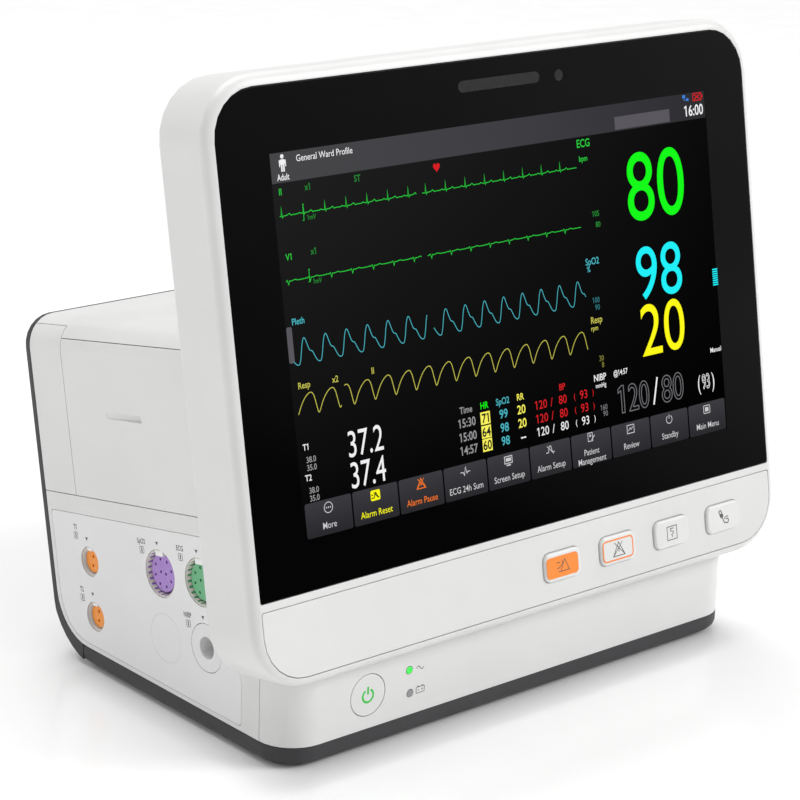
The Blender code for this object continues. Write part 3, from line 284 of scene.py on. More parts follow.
def lit(name, stops, axis=0, start=-0.1085, end=0.1085):
    """A lit colour of the panel: black until driven, with a fine row structure in its strength."""
    finish, tree, shader = new_finish(name, srgb(3, 3, 3), 0.3)
    shader.inputs["Specular IOR Level"].default_value = 0.05
    across = tree.nodes.new("ShaderNodeUVMap")
    across.uv_map = "across"
    rows = tree.nodes.new("ShaderNodeTexWave")
    rows.bands_direction = "Y"
    rows.inputs["Scale"].default_value = 1500
    tree.links.new(across.outputs["UV"], rows.inputs["Vector"])
    between(tree, rows.outputs["Fac"], 0.94, 1.04, shader.inputs["Emission Strength"], 0, 1)
    if len(stops) == 1:
        shader.inputs["Emission Color"].default_value = (*srgb(*stops[0]), 1)
        return finish
    split = tree.nodes.new("ShaderNodeSeparateXYZ")
    place = tree.nodes.new("ShaderNodeMapRange")
    place.inputs["From Min"].default_value = start
    place.inputs["From Max"].default_value = end
    tree.links.new(across.outputs["UV"], split.inputs["Vector"])
    tree.links.new(split.outputs[axis], place.inputs["Value"])
    spaced = [(index / (len(stops) - 1), srgb(*stop)) for index, stop in enumerate(stops)]
    tone(tree, shader.inputs["Emission Color"], place.outputs["Result"], spaced)
    return finish


def line(points, width, closed=False):
    """A line of one width through points, mitred at its bends."""
    count = len(points)
    left = []
    right = []
    for index, point in enumerate(points):
        here = Vector(point)
        arriving = here - Vector(points[index - 1] if index or closed else point)
        leaving = Vector(points[(index + 1) % count] if index < count - 1 or closed else point) - here
        arriving = (arriving if arriving.length else leaving).normalized()
        leaving = (leaving if leaving.length else arriving).normalized()
        along = arriving + leaving
        along = along.normalized() if along.length > 0.01 else arriving
        side = Vector((-along.y, along.x))
        reach = width / 2 / max(0.4, side.dot(Vector((-arriving.y, arriving.x))))
        left.append(tuple(here + side * reach))
        right.append(tuple(here - side * reach))
    spans = range(count if closed else count - 1)
    faces = [(count + k, count + (k + 1) % count, (k + 1) % count, k) for k in spans]
    return left + right, faces


def ring(x, z, radius, width, sides=28):
    return line(disc(x, z, radius, sides)[0], width, True)


def lettering(text, size, anchor, fill, curve, weight=0.0):
    """The outlines of a line of lettering, as a flat mesh's points, faces and edges."""
    font = bpy.data.curves.new("lettering", "FONT")
    font.body = text
    font.size = size
    font.align_x = anchor
    font.offset = weight
    font.fill_mode = fill
    font.resolution_u = curve
    holder = bpy.data.objects.new("lettering", font)
    flat = holder.to_mesh()
    points = [(vertex.co.x, vertex.co.y) for vertex in flat.vertices]
    faces = [tuple(face.vertices) for face in flat.polygons]
    edges = [tuple(edge.vertices) for edge in flat.edges]
    holder.to_mesh_clear()
    bpy.data.objects.remove(holder)
    bpy.data.curves.remove(font)
    return points, faces, edges


def words(text, x, z, height, squeeze=0.86, anchor="CENTER", curve=3, weight=0.02):
    """Lettering whose capitals have a height and are centred on z; every 1 gets its flag."""
    size, bold = height / 0.7, weight * height
    points, faces, _ = lettering(text, size, "LEFT", "BOTH", curve, bold)
    stem = [a for a, b in lettering("1", size, "LEFT", "BOTH", 1, bold)[0]]
    thick = max(stem) - min(stem)
    flag = 0.19 * height / squeeze
    for index, letter in enumerate(text):
        if letter == "1":
            reach = max(a for a, b in lettering(text[:index + 1], size, "LEFT", "BOTH", 1, bold)[0]) - thick
            faces.append(tuple(range(len(points), len(points) + 4)))
            points += [(reach, height), (reach - flag, 0.84 * height), (reach - flag, 0.71 * height),
                       (reach, 0.84 * height)]
    across = [a for a, b in points]
    middle = (min(across) + max(across)) / 2 if anchor == "CENTER" else 0
    return [(x + squeeze * (a - middle), z - height / 2 + b) for a, b in points], faces


def hollow_words(text, x, z, height, squeeze, width):
    """Lettering drawn only as its outline."""
    points, _, edges = lettering(text, height / 0.7, "CENTER", "NONE", 5)
    placed = [(x + squeeze * a, z - height / 2 + b) for a, b in points]
    return [line([placed[first], placed[second]], width) for first, second in edges]


def flowing(points, steps=6):
    """A smooth curve through points."""
    ends = [points[0]] + list(points) + [points[-1]]
    curve = []
    for p0, p1, p2, p3 in zip(ends, ends[1:], ends[2:], ends[3:]):
        for step in range(steps):
            t = step / steps
            curve.append(tuple(0.5 * (2 * b + (c - a) * t + (2 * a - 5 * b + 4 * c - d) * t * t
                                      + (3 * b - a - 3 * c + d) * t ** 3)
                               for a, b, c, d in zip(p0, p1, p2, p3)))
    return curve + [points[-1]]


def shown(points, start, end):
    """The part of a wave between two places across the screen."""
    return [point for point in points if start <= point[0] <= end]


white_light = lit("white_light", [(242, 242, 244)])
grey_light = lit("grey_light", [(150, 150, 152)])
caption_light = lit("caption_light", [(204, 204, 206)])
soft_yellow = lit("soft_yellow", [(250, 243, 92)])
dim_light = lit("dim_light", [(112, 112, 116)])
ecg_light = lit("ecg_light", [(38, 200, 60)])
dim_green = lit("dim_green", [(34, 136, 50)])
dim_blue = lit("dim_blue", [(44, 112, 120)])
dim_yellow = lit("dim_yellow", [(124, 120, 52)])
green_light = lit("green_light", [(6, 250, 14)])
pleth_light = lit("pleth_light", [(72, 178, 190)])
cyan_light = lit("cyan_light", [(24, 240, 248)])
resp_light = lit("resp_light", [(196, 192, 82)])
yellow_light = lit("yellow_light", [(254, 250, 12)])
red_light = lit("red_light", [(214, 24, 30)])
orange_light = lit("orange_light", [(246, 118, 34)])
blue_light = lit("blue_light", [(60, 130, 220)])
dark_light = lit("dark_light", [(16, 16, 18)])
header_light = lit("header_light", [(68, 68, 71), (60, 59, 64), (40, 40, 44)])
field_light = lit("field_light", [(88, 86, 92)])
tile_light = lit("tile_light", [(34, 34, 38), (45, 45, 50), (55, 55, 60)], 1,
                 PICTURE_FOOT / 1000, TILE_TOP / 1000)

# what is not driven still lets a little of the backlight through, most at the upper left
unlit, unlit_tree, unlit_shader = new_finish("unlit_picture", (0, 0, 0), 0.5)
unlit_shader.inputs["Specular IOR Level"].default_value = 0.0
unlit_shader.inputs["Emission Color"].default_value = (*srgb(31, 31, 32), 1)
unlit_place = unlit_tree.nodes.new("ShaderNodeUVMap")
unlit_place.uv_map = "across"
unlit_split = unlit_tree.nodes.new("ShaderNodeSeparateXYZ")
unlit_level = unlit_tree.nodes.new("ShaderNodeMath")
unlit_level.operation = "MULTIPLY"
unlit_tree.links.new(unlit_place.outputs["UV"], unlit_split.inputs["Vector"])
between(unlit_tree, unlit_split.outputs[0], 1.0, 0.25, unlit_level.inputs[0],
        PICTURE_LEFT / 1000, PICTURE_RIGHT / 1000)
between(unlit_tree, unlit_split.outputs[1], 0.1, 1.0, unlit_level.inputs[1],
        PICTURE_FOOT / 1000, HEADER_FOOT / 1000)
unlit_tree.links.new(unlit_level.outputs[0], unlit_shader.inputs["Emission Strength"])
sheet("picture_unlit", unlit, [panel(-108.9, 108.7, -68.0, PICTURE_TOP)], on_glass(PRINT_LIFT / 2),
      "root")

BEAT_SPACING = 9.6
BREATH_SPACING = 9.7
drawn = {}


def draw(light, *shapes):
    drawn.setdefault(light, []).extend(shapes)


# the electrocardiogram leads: seven beats before the sweep gap and eight after it
beats = [-105.9 + BEAT_SPACING * k for k in range(7)] + [-40.0 + BEAT_SPACING * k for k in range(8)]
for base, beat_shape in (
        (46.1, ((-2.6, 0), (-1.9, 0.35), (-1.2, 0), (-0.25, -0.1), (0, 3.2), (0.25, -0.6), (0.6, -0.05),
                (2.3, 0.1), (3.35, 0.6), (4.1, -0.15), (4.7, 0))),
        (23.4, ((-2.4, 0), (-1.8, 0.18), (-1.2, 0), (-0.3, 0.4), (0.15, -1.2), (0.6, 0.1), (1.4, 0),
                (3.2, 0.35), (4.2, 0)))):
    for start, end in ((-106.8, -44.6), (-41.7, 35.8)):
        wave = [(start, base)]
        wave += [(beat + x, base + z) for beat in beats for x, z in beat_shape
                 if start < beat + x < end]
        draw(ecg_light, line(wave + [(end, base)], 0.3))
draw(ecg_light, line([(-97.0, 43.5), (-96.4, 43.5), (-96.4, 49.0), (-95.9, 49.0)], 0.25))
draw(dim_green, words("1mV", -93.0, 44.3, 1.7), words("1mV", -93.0, 21.9, 1.7))
draw(ecg_light, line([(-97.0, 22.0), (-96.4, 22.0), (-96.4, 26.3), (-95.9, 26.3)], 0.25))
draw(ecg_light, words("II", -105.6, 54.5, 2.3), words("ECG", 40.3, 55.0, 3.0))
draw(ecg_light, words("bpm", 39.7, 49.2, 2.1), words("V1", -104.7, 31.8, 2.3))
draw(dim_green, words("x1", -93.7, 54.9, 2.3), words("ST", -71.1, 55.1, 2.3))
draw(dim_green, words("x1", -93.7, 32.4, 2.3), words("105", 44.1, 27.6, 2.1))
draw(dim_green, words("80", 45.0, 23.4, 2.1))


def pulses(first_peak, count, lead):
    """The pulse wave: a steep rise, a notch on the way down and a rounded trough."""
    points = list(lead)
    for peak in [first_peak + BEAT_SPACING * k for k in range(count)]:
        points += [(peak + x, z) for x, z in (
            (-4.0, -6.0), (-3.35, -6.15), (-2.7, -5.7), (-2.0, -3.4), (-1.2, 0.4), (-0.5, 2.5), (0.0, 3.0),
            (0.5, 2.5), (1.2, 0.5), (1.9, -1.3), (2.55, -1.95), (3.2, -2.2), (4.0, -3.7), (4.8, -5.2))]
    return flowing(points, 4)


draw(pleth_light, line(shown(pulses(-101.4, 7, [(-107.2, -4.1), (-106.0, -5.5)]), -107.1, -44.4), 0.32))
draw(pleth_light, line(shown(pulses(-35.4, 8, [(-41.9, -2.6), (-40.6, -4.6)]), -41.8, 35.7), 0.32))
draw(pleth_light, words("Pleth", -103.2, 9.2, 2.3), words("%", 38.2, 6.9, 2.1))
draw(dim_blue, words("100", 40.9, -5.3, 2.1), words("90", 41.4, -8.1, 2.1))
draw(pleth_light, words("SpO2", 40.4, 9.8, 2.6))
draw(field_light, panel(PICTURE_LEFT, PICTURE_LEFT + 2.4, -5.1, 7.6, 0.7))


def breathing(first_peak, count):
    """The breathing wave: broad rounded hills that fall to narrow troughs."""
    points = []
    for peak in [first_peak + BREATH_SPACING * k for k in range(count)]:
        points += [(peak + x, z) for x, z in (
            (-6.85, -24.0), (-6.3, -23.4), (-5.0, -20.9), (-3.9, -19.2), (-2.8, -17.9), (-1.6, -16.9),
            (-0.7, -16.5), (0.0, -16.45), (0.6, -16.8), (1.3, -18.2), (2.0, -21.3), (2.5, -23.5))]
    return flowing(points, 4)


draw(resp_light, line(shown(breathing(-100.55, 3), -106.9, -87.3), 0.32))
draw(resp_light, line(shown(breathing(-84.35, 13), -85.5, 35.7), 0.32))
draw(resp_light, words("Resp", -103.2, -13.4, 2.3), words("x2", -89.3, -13.7, 2.3))
draw(resp_light, words("II", -72.0, -13.6, 2.3), words("Resp", 40.4, -12.8, 2.6))
draw(resp_light, words("rpm", 39.0, -15.9, 1.9))
draw(dim_yellow, words("30", 41.5, -28.0, 2.1), words("8", 42.0, -30.6, 2.1))

# the large readings and their scale marks
draw(green_light, words("80", 77.7, 35.25, 26.7, 0.885, curve=8, weight=0))
draw(cyan_light, words("98", 76.3, 1.35, 20.7, 0.91, curve=8, weight=0))
draw(yellow_light, words("20", 76.15, -21.1, 20.4, 0.89, curve=8, weight=0))
draw(cyan_light, *[panel(106.3, 109.2, -9.5 + 0.88 * k, -9.5 + 0.88 * k + 0.55) for k in range(8)])
draw(white_light, words("Manual", 105.2, -35.0, 1.9, 0.84), words("@14:57", 51.1, -35.1, 2.1, 0.8))
draw(white_light, words("NIBP", 39.9, -35.2, 2.6), words("mmHg", 40.1, -38.3, 1.7))
draw(dim_light, words("160", 40.8, -47.1, 2.1), words("90", 41.4, -49.6, 2.1))
draw(white_light, line([(70.9, -40.5), (68.1, -51.0)], 0.8))
draw(dim_light, *hollow_words("20", 60.1, -45.85, 10.7, 0.78, 0.4))
hollow_one = [(50.5, -51.2), (50.5, -42.4), (48.9, -43.1), (48.9, -41.8), (50.8, -40.5), (52.0, -40.5),
              (52.0, -51.2)]
draw(dim_light, line(hollow_one, 0.4, True))
draw(dim_light, *hollow_words("80", 79.1, -45.85, 10.7, 0.84, 0.42))
draw(white_light, *hollow_words("93", 98.4, -46.8, 5.9, 0.56, 0.26))
for bracket, x in (("(", 94.4), (")", 102.4)):
    draw(white_light, words(bracket, x, -46.8, 6.0, 0.7, weight=0.0))

# temperatures
for label, reading, label_z, middle in (("T1", "37.2", -35.2, -37.9), ("T2", "37.4", -46.2, -49.2)):
    draw(white_light, words(label, -105.2, label_z, 2.2))
    draw(white_light, words(reading, -78.1, middle, 9.5, 0.73, curve=6, weight=0))
    draw(grey_light, words("38.0", -103.2, label_z - 4.65, 2.1))
    draw(grey_light, words("35.0", -103.2, label_z - 7.5, 2.1))

# trend table: two alarmed rows in red and the last one in white
header = ((-29.7, "Time", grey_light), (-20.5, "HR", green_light), (-11.3, "SpO2", pleth_light),
          (-2.2, "RR", soft_yellow), (19.6, "BP", red_light))
for x, text, light in header:
    draw(light, words(text, x, -35.4, 2.5, 0.84))
rows = (("15:30", "71", "99", "20", red_light, -40.2), ("15:00", "64", "98", "20", red_light, -45.4),
        ("14:57", "60", "98", "--", white_light, -50.4))
for time, rate, oxygen, breaths, light, z in rows:
    draw(grey_light, words(time, -29.7, z, 3.2, 0.86))
    draw(soft_yellow, panel(-22.9, -18.1, z - 2.35, z + 2.35))
    draw(white_light if breaths == "--" else soft_yellow, words(breaths, -2.2, z, 3.3, 0.92))
    draw("over", words(rate, -20.5, z, 3.4, 0.9, weight=0.03))
    draw(pleth_light, words(oxygen, -11.3, z, 3.3, 0.92))
    for x, text, height in ((8.0, "120", 3.3), (13.5, "/", 3.3), (19.4, "80", 3.3), (25.7, "(", 2.2),
                            (30.5, "93", 3.3), (35.5, ")", 2.2)):
        draw(light, words(text, x, z, height, 0.92, weight=0.005))

# the header bar: patient, profile, network, battery and clock
draw(header_light, panel(PICTURE_LEFT, PICTURE_RIGHT, HEADER_FOOT, PICTURE_TOP))
draw("field", panel(57.8, 88.1, 58.0, 62.9))
draw("white_over", disc(-103.5, 66.5, 0.75), panel(-104.6, -102.4, 63.6, 65.5, 0.5))
draw("white_over", panel(-104.3, -103.62, 61.2, 64.6, 0.2), panel(-103.38, -102.7, 61.2, 64.6, 0.2))
draw("white_over", panel(-105.0, -104.6, 62.9, 65.3, 0.2), panel(-102.4, -102.0, 62.9, 65.3, 0.2))
draw("white_over", words("Adult", -103.7, 59.4, 2.2, 0.75))
draw("white_over", words("General Ward Profile", -97.5, 65.2, 2.3, 0.88, "LEFT", weight=0.004))
draw("white_over", words("16:00", 101.9, 61.1, 4.1, 0.84))
draw("red_over", line(panel(101.9, 106.6, 64.7, 67.5)[0], 0.35, True), panel(106.8, 107.3, 65.4, 66.8),
     line([(102.5, 65.1), (106.0, 67.1)], 0.45), line([(102.5, 67.1), (106.0, 65.1)], 0.45))
draw("blue_over", panel(96.0, 97.6, 66.2, 67.4), panel(98.0, 99.4, 65.0, 66.0),
     line([(96.8, 66.2), (96.8, 65.4), (98.0, 65.4)], 0.25))
heart = [(-33.9 + 0.103 * 16 * math.sin(t) ** 3,
          54.6 + 0.115 * (13 * math.cos(t) - 5 * math.cos(2 * t) - 2 * math.cos(3 * t) - math.cos(4 * t)))
         for t in [-2 * math.pi * k / 36 for k in range(36)]]
draw(red_light, (heart, [tuple(range(36))]))

# soft keys: dark tiles, each with a small sign over its name
captions = (("More",), ("Alarm Reset",), ("Alarm Pause",), ("ECG 24h Sum",), ("Screen Setup",),
            ("Alarm Setup",), ("Patient", "Management"), ("Review",), ("Standby",), ("Main Menu",))
places = [-97.65 + 21.7 * number for number in range(10)]
for number, (middle, lines_of_text) in enumerate(zip(places, captions)):
    draw(tile_light, panel(middle - 10.5, middle + 10.5, PICTURE_FOOT, TILE_TOP, 0.8))
    light = {1: "yellow_over", 2: "orange_over"}.get(number, "caption_over")
    heights = (-64.5,) if len(lines_of_text) == 1 else (-62.9, -66.2)
    for text, z in zip(lines_of_text, heights):
        draw(light, words(text, middle, z, 2.4, 0.86, weight=0.003))


def scaled(points, x, z, size):
    """Points of a sign one unit tall, set about a place at a size."""
    return [(x + size * a, z + size * b) for a, b in points]


def alarm_sign(x, z, size, width):
    """The alarm triangle with a cross through it, for alarms that are held."""
    return [line(scaled([(-0.58, -0.5), (0.58, -0.5), (0, 0.5)], x, z, size), width, True),
            line(scaled([(0, -0.22), (0, 0.16)], x, z, size), width),
            line(scaled([(-0.5, -0.42), (0.42, 0.5)], x, z, size), width * 0.8),
            line(scaled([(0.5, -0.42), (-0.42, 0.5)], x, z, size), width * 0.8)]


def reset_sign(x, z, size, width):
    """The alarm triangle with its base line drawn out to the left and one stroke through it."""
    outline = [(-0.85, -0.4), (-0.3, -0.4), (0.05, 0.45), (0.1, 0.45), (0.55, -0.4), (0.8, -0.4)]
    return [line(scaled(outline, x, z, size), width),
            line(scaled([(-0.85, 0.1), (-0.45, 0.1)], x, z, size), width),
            line(scaled([(-0.35, 0.5), (0.6, -0.5)], x, z, size), width * 0.8)]


sign_z = -58.3
draw("caption_over", ring(places[0], sign_z, 1.9, 0.3),
     *[disc(places[0] + dx, sign_z, 0.3, 8) for dx in (-0.9, 0, 0.9)])
draw("yellow_over", panel(places[1] - 2.2, places[1] + 2.2, sign_z - 1.9, sign_z + 1.9, 0.6))
draw("dark_over", *reset_sign(places[1], sign_z, 2.2, 0.4))
draw("orange_over", *alarm_sign(places[2], sign_z, 3.6, 0.35))
x = places[3]
beat = [(-2.4, 0), (-1.1, 0), (-0.5, -1.2), (0.2, 1.9), (0.8, -0.6), (1.2, 0), (2.4, 0)]
draw("caption_over", line(scaled(beat, x, sign_z, 1), 0.32))
x = places[4]
draw("caption_over", line(panel(x - 1.9, x + 1.9, sign_z - 0.9, sign_z + 1.7)[0], 0.35, True),
     panel(x - 1.3, x + 1.3, sign_z - 0.2, sign_z + 1.1), panel(x - 1.1, x + 1.1, sign_z - 1.9, sign_z - 1.4))
x = places[5]
bell = [(-2.2, -0.9), (-1.0, -0.9), (-0.4, 1.5), (0.4, 1.5), (1.0, -0.9), (2.2, -0.9)]
draw("caption_over", line(scaled(bell, x, sign_z, 1), 0.32),
     line([(x - 1.6, sign_z + 1.6), (x + 1.7, sign_z - 1.6)], 0.25))
x = places[6]
draw("caption_over", line(panel(x - 1.5, x + 0.9, sign_z - 0.6, sign_z + 2.6)[0], 0.3, True),
     disc(x - 0.3, sign_z + 1.5, 0.5, 12), line([(x + 0.4, sign_z - 0.2), (x + 2.0, sign_z + 1.4)], 0.4))
x = places[7]
draw("caption_over", line(panel(x - 1.9, x + 1.9, sign_z - 1.5, sign_z + 1.7)[0], 0.32, True),
     line(scaled([(-1.2, -0.5), (-0.3, 0.6), (0.3, -0.1), (1.2, 0.9)], x, sign_z, 1), 0.3))
x = places[8]
turns = [0.6 + (2 * math.pi - 1.2) * k / 20 for k in range(21)]
arc = [(x + 1.6 * math.sin(a), sign_z + 1.6 * math.cos(a)) for a in turns]
draw("caption_over", line(arc, 0.32), line([(x, sign_z + 0.2), (x, sign_z + 1.9)], 0.32))
x = places[9]
draw("caption_over", line(panel(x - 1.8, x + 1.8, sign_z - 1.4, sign_z + 1.7, 0.4)[0], 0.32, True),
     panel(x - 1.0, x + 1.0, sign_z - 0.7, sign_z + 1.0))

# these layers lie over a tile or a bar, and the dark sign lies over one of them in turn
over = {"over": dark_light, "caption_over": caption_light, "dark_over": dark_light,
        "field": field_light, "white_over": white_light, "red_over": red_light,
        "blue_over": blue_light, "yellow_over": yellow_light, "orange_over": orange_light}
picture_lift = 1.5 * PRINT_LIFT
over_lift = 2.5 * PRINT_LIFT
top_lift = 3 * PRINT_LIFT
layer_names = {}
for layer, shapes in drawn.items():
    light = over.get(layer, layer)
    raised = top_lift if layer == "dark_over" else over_lift if layer in over else picture_lift
    count = layer_names[light.name] = layer_names.get(light.name, 0) + 1
    sheet(f"picture_{light.name}_{count}", light, shapes, on_glass(raised), "root")


# ---- Display panel, its tray and the light guide ---------------------------------------------
# The panel is a bonded glass sandwich in a folded tray of zinc-plated steel.  The light guide
# over it is milky acrylic, lit from its end by lamps on the display's own board.

display_face = moulded("display_back", srgb(28, 28, 31), 0.30, 0.000001)
finished("display_panel", display_face, 0.0003)


def metal(name, colour, roughness, stretch=(1, 1, 1)):
    """Metal with fine drawn or rolled lines and an uneven polish."""
    finish, tree, shader = new_finish(name, colour, roughness)
    shader.inputs["Metallic"].default_value = 1.0
    lines = noise(tree, 900, 3, stretch)
    between(tree, lines, roughness * 0.8, roughness * 1.25, shader.inputs["Roughness"])
    tone(tree, shader.inputs["Base Color"], noise(tree, 60, 3),
         ((0.3, tuple(c * 0.92 for c in colour)), (0.7, colour)))
    relief(tree, shader, lines, 0.000002)
    return finish


zinc_sheet = metal("zinc_sheet", srgb(192, 194, 196), 0.34, (0.05, 1, 1))
finished("display_bracket", zinc_sheet, 0.0002)

milky, milky_tree, milky_shader = new_finish("milky_acrylic", srgb(176, 178, 180), 0.2)
between(milky_tree, noise(milky_tree, 200, 2), 0.16, 0.26, milky_shader.inputs["Roughness"])
milky_shader.inputs["Transmission Weight"].default_value = 0.25
finished("alarm_light_guide", milky, 0.0002)


# ---- Key strip and its four keys -------------------------------------------------------------
# A flush strip of the same lacquered ABS closes the front under the glass.  The keys are
# moulded pillows that stand 1.2 mm proud; the alarm keys are marked in orange.

finished("keypad_panel", white_lacquer, 0.0002)
key_bodies = ("key_alarm_reset", "key_alarm_pause", "key_record", "key_cuff_start")
key_lacquer = moulded("key_lacquer", srgb(230, 230, 229), 0.32)
for key in key_bodies:
    finished(key, key_lacquer, 0.0002, swell=0.0001)
orange_print = moulded("orange_print", srgb(255, 142, 48), 0.35, 0.000001)
grey_print = moulded("grey_print", srgb(78, 78, 80), 0.45, 0.000001)
first_key = 0.0117
key_pitch = 0.030
key_row = -0.1033
key_top = 0.0013


def on_key(number, lift):
    place = (first_key + key_pitch * number, -key_top - lift, key_row)
    return HEAD @ Matrix.Translation(place) @ TO_FRONT


sheet("alarm_reset_face", orange_print, [panel(-8.7, 8.0, -4.25, 4.05, 1.7, 6)],
      on_key(0, PRINT_LIFT), nodes["key_alarm_reset"]["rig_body"])
pause_frame = line(panel(-8.3, 7.8, -4.1, 3.9, 1.6, 6)[0], 0.6, True)
sheet("alarm_pause_frame", orange_print, [pause_frame], on_key(1, PRINT_LIFT),
      nodes["key_alarm_pause"]["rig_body"])

pause_marks = alarm_sign(0.1, 0.0, 5.4, 0.32)
record_marks = [line(panel(-2.7, 2.7, -2.7, 2.7)[0], 0.32, True),
                line([(1.0, 1.8), (-0.8, 1.8), (-0.8, 0.9), (0.7, 0.5), (0.7, -0.3), (-0.3, -0.7),
                      (0.3, -1.7)], 0.32)]
cuff_marks = [line([(-2.5, 2.6), (-2.0, 3.1), (-1.3, 3.0), (-0.2, 0.6), (-0.9, 0.1), (-1.6, 0.3)], 0.4, True),
              line([(-1.9, 1.2), (-0.6, 0.9)], 1.2),
              line([(-0.8, 0.1), (0.5, -2.3), (2.3, -2.5), (2.9, -1.7), (2.5, -0.8), (1.2, -0.8)], 0.4),
              line([(0.2, -0.6), (1.4, 0.1), (2.8, 0.2)], 0.35)]
reset_marks = [line([(-1.5, -2.1), (0.9, 2.4), (3.1, -2.1), (-2.6, -2.1)], 0.3),
               line([(-3.4, 1.5), (-1.6, 1.5)], 0.3), line([(-3.4, -0.6), (-1.8, -0.6)], 0.3),
               line([(-0.6, 2.2), (-0.2, 1.2), (-0.9, 0.3), (-2.0, -0.3)], 0.3)]
for number, marks in enumerate((reset_marks, pause_marks, record_marks, cuff_marks)):
    sheet(key_bodies[number] + "_sign", grey_print, marks, on_key(number, 2 * PRINT_LIFT),
          nodes[key_bodies[number]]["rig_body"])


# ---- Circuit boards --------------------------------------------------------------------------
# Glass-fibre boards under green solder mask, with copper that shows through as paler tracks.
# Chips, coils and plugs are soldered on; they are hidden until the casing is opened.

mask, mask_tree, mask_shader = new_finish("solder_mask", srgb(24, 98, 58), 0.35)
tracks = mask_tree.nodes.new("ShaderNodeTexVoronoi")
tracks.feature = "DISTANCE_TO_EDGE"
tracks.inputs["Scale"].default_value = 420
tracks_place = mask_tree.nodes.new("ShaderNodeTexCoord")
mask_tree.links.new(tracks_place.outputs["Object"], tracks.inputs["Vector"])
tone(mask_tree, mask_shader.inputs["Base Color"], tracks.outputs["Distance"],
     ((0.04, srgb(58, 140, 84)), (0.10, srgb(20, 92, 52))))
relief(mask_tree, mask_shader, tracks.outputs["Distance"], 0.00001)
for board in ("key_board", "power_board", "main_board", "power_supply"):
    finished(board, mask, 0.0001)

chip_resin = moulded("chip_resin", srgb(34, 34, 36), 0.5)
BODY = Matrix.Translation((0, -0.06787, 0))


def blocks(name, boxes, place, finish, edge=0.0002):
    """Small blocks in one piece, each given by its low and high corner in millimetres."""
    shape = bmesh.new()
    for low, high in boxes:
        made = bmesh.ops.create_cube(shape, size=1.0)["verts"]
        for vertex in made:
            vertex.co = [(start + end) / 2000 + side * (end - start) / 1000
                         for side, start, end in zip(vertex.co, low, high)]
    for face in shape.faces:
        face.smooth = True
    shape.transform(place)
    mesh = bpy.data.meshes.new(name)
    shape.to_mesh(mesh)
    shape.free()
    return eased(own(name, mesh, finish, "root"), edge)


blocks("main_board_chips", [((-17, 45.6, -18), (-7, 46.8, -11)), ((20, 45.6, -30), (34, 46.9, -16)),
                            ((22, 45.6, -52), (32, 46.8, -40)), ((-50, 45.6, -34), (-36, 46.8, -20)),
                            ((-52, 45.6, -60), (-44, 46.8, -46)), ((-30, 45.6, -72), (-18, 47.0, -64)),
                            ((36, 45.6, -54), (52, 47.0, -48)), ((0, 45.6, -86), (16, 49.0, -80))],
       HEAD, chip_resin)
blocks("heat_sink_fins", [((-19.5 + 4.1 * k, 49.4, -54.6), (-18.3 + 4.1 * k, 52.6, -20.4)) for k in range(9)],
       HEAD, zinc_sheet, 0.0001)
blocks("supply_parts", [((-25, 62.8 + 3.4, 16.6), (-21, 69.2, 21)), ((-26, 76, 16.6), (-20, 84, 23)),
                        ((9.5, 66, 16.6), (14.5, 70, 20)), ((10, 84, 16.6), (14, 92, 22)),
                        ((30, 64, 16.6), (38, 69, 22)), ((-26, 100, 16.6), (-4, 114, 27))],
       BODY, chip_resin)


# ---- Casings -----------------------------------------------------------------------------------
# The head's back, the top, the side panels and the chin are moulded in the same white ABS and
# meet with narrow open seams.  Pan-head screws of zinc-plated steel hold them from behind.

for casing in ("head_back", "top_cover", "module_blank", "recorder_panel", "rear_strip_left",
               "rear_strip_right", "right_panel", "chin_housing"):
    finished(casing, white_lacquer, 0.0002)
finished("connector_panel", white_lacquer, 0.0002, pierced=True)
zinc_screw = metal("zinc_screw", srgb(186, 187, 190), 0.28)
for group, count in (("head", 2), ("base", 2), ("rear", 4)):
    for number in range(count):
        finished(f"{group}_screw_{number + 1}", zinc_screw, 0.0001)


# ---- Sockets and their label -------------------------------------------------------------------
# A printed film in a shallow pocket names the sockets.  Each socket is a coloured insert in a
# collar of its colour, with a white key at the top that lines up its plug.

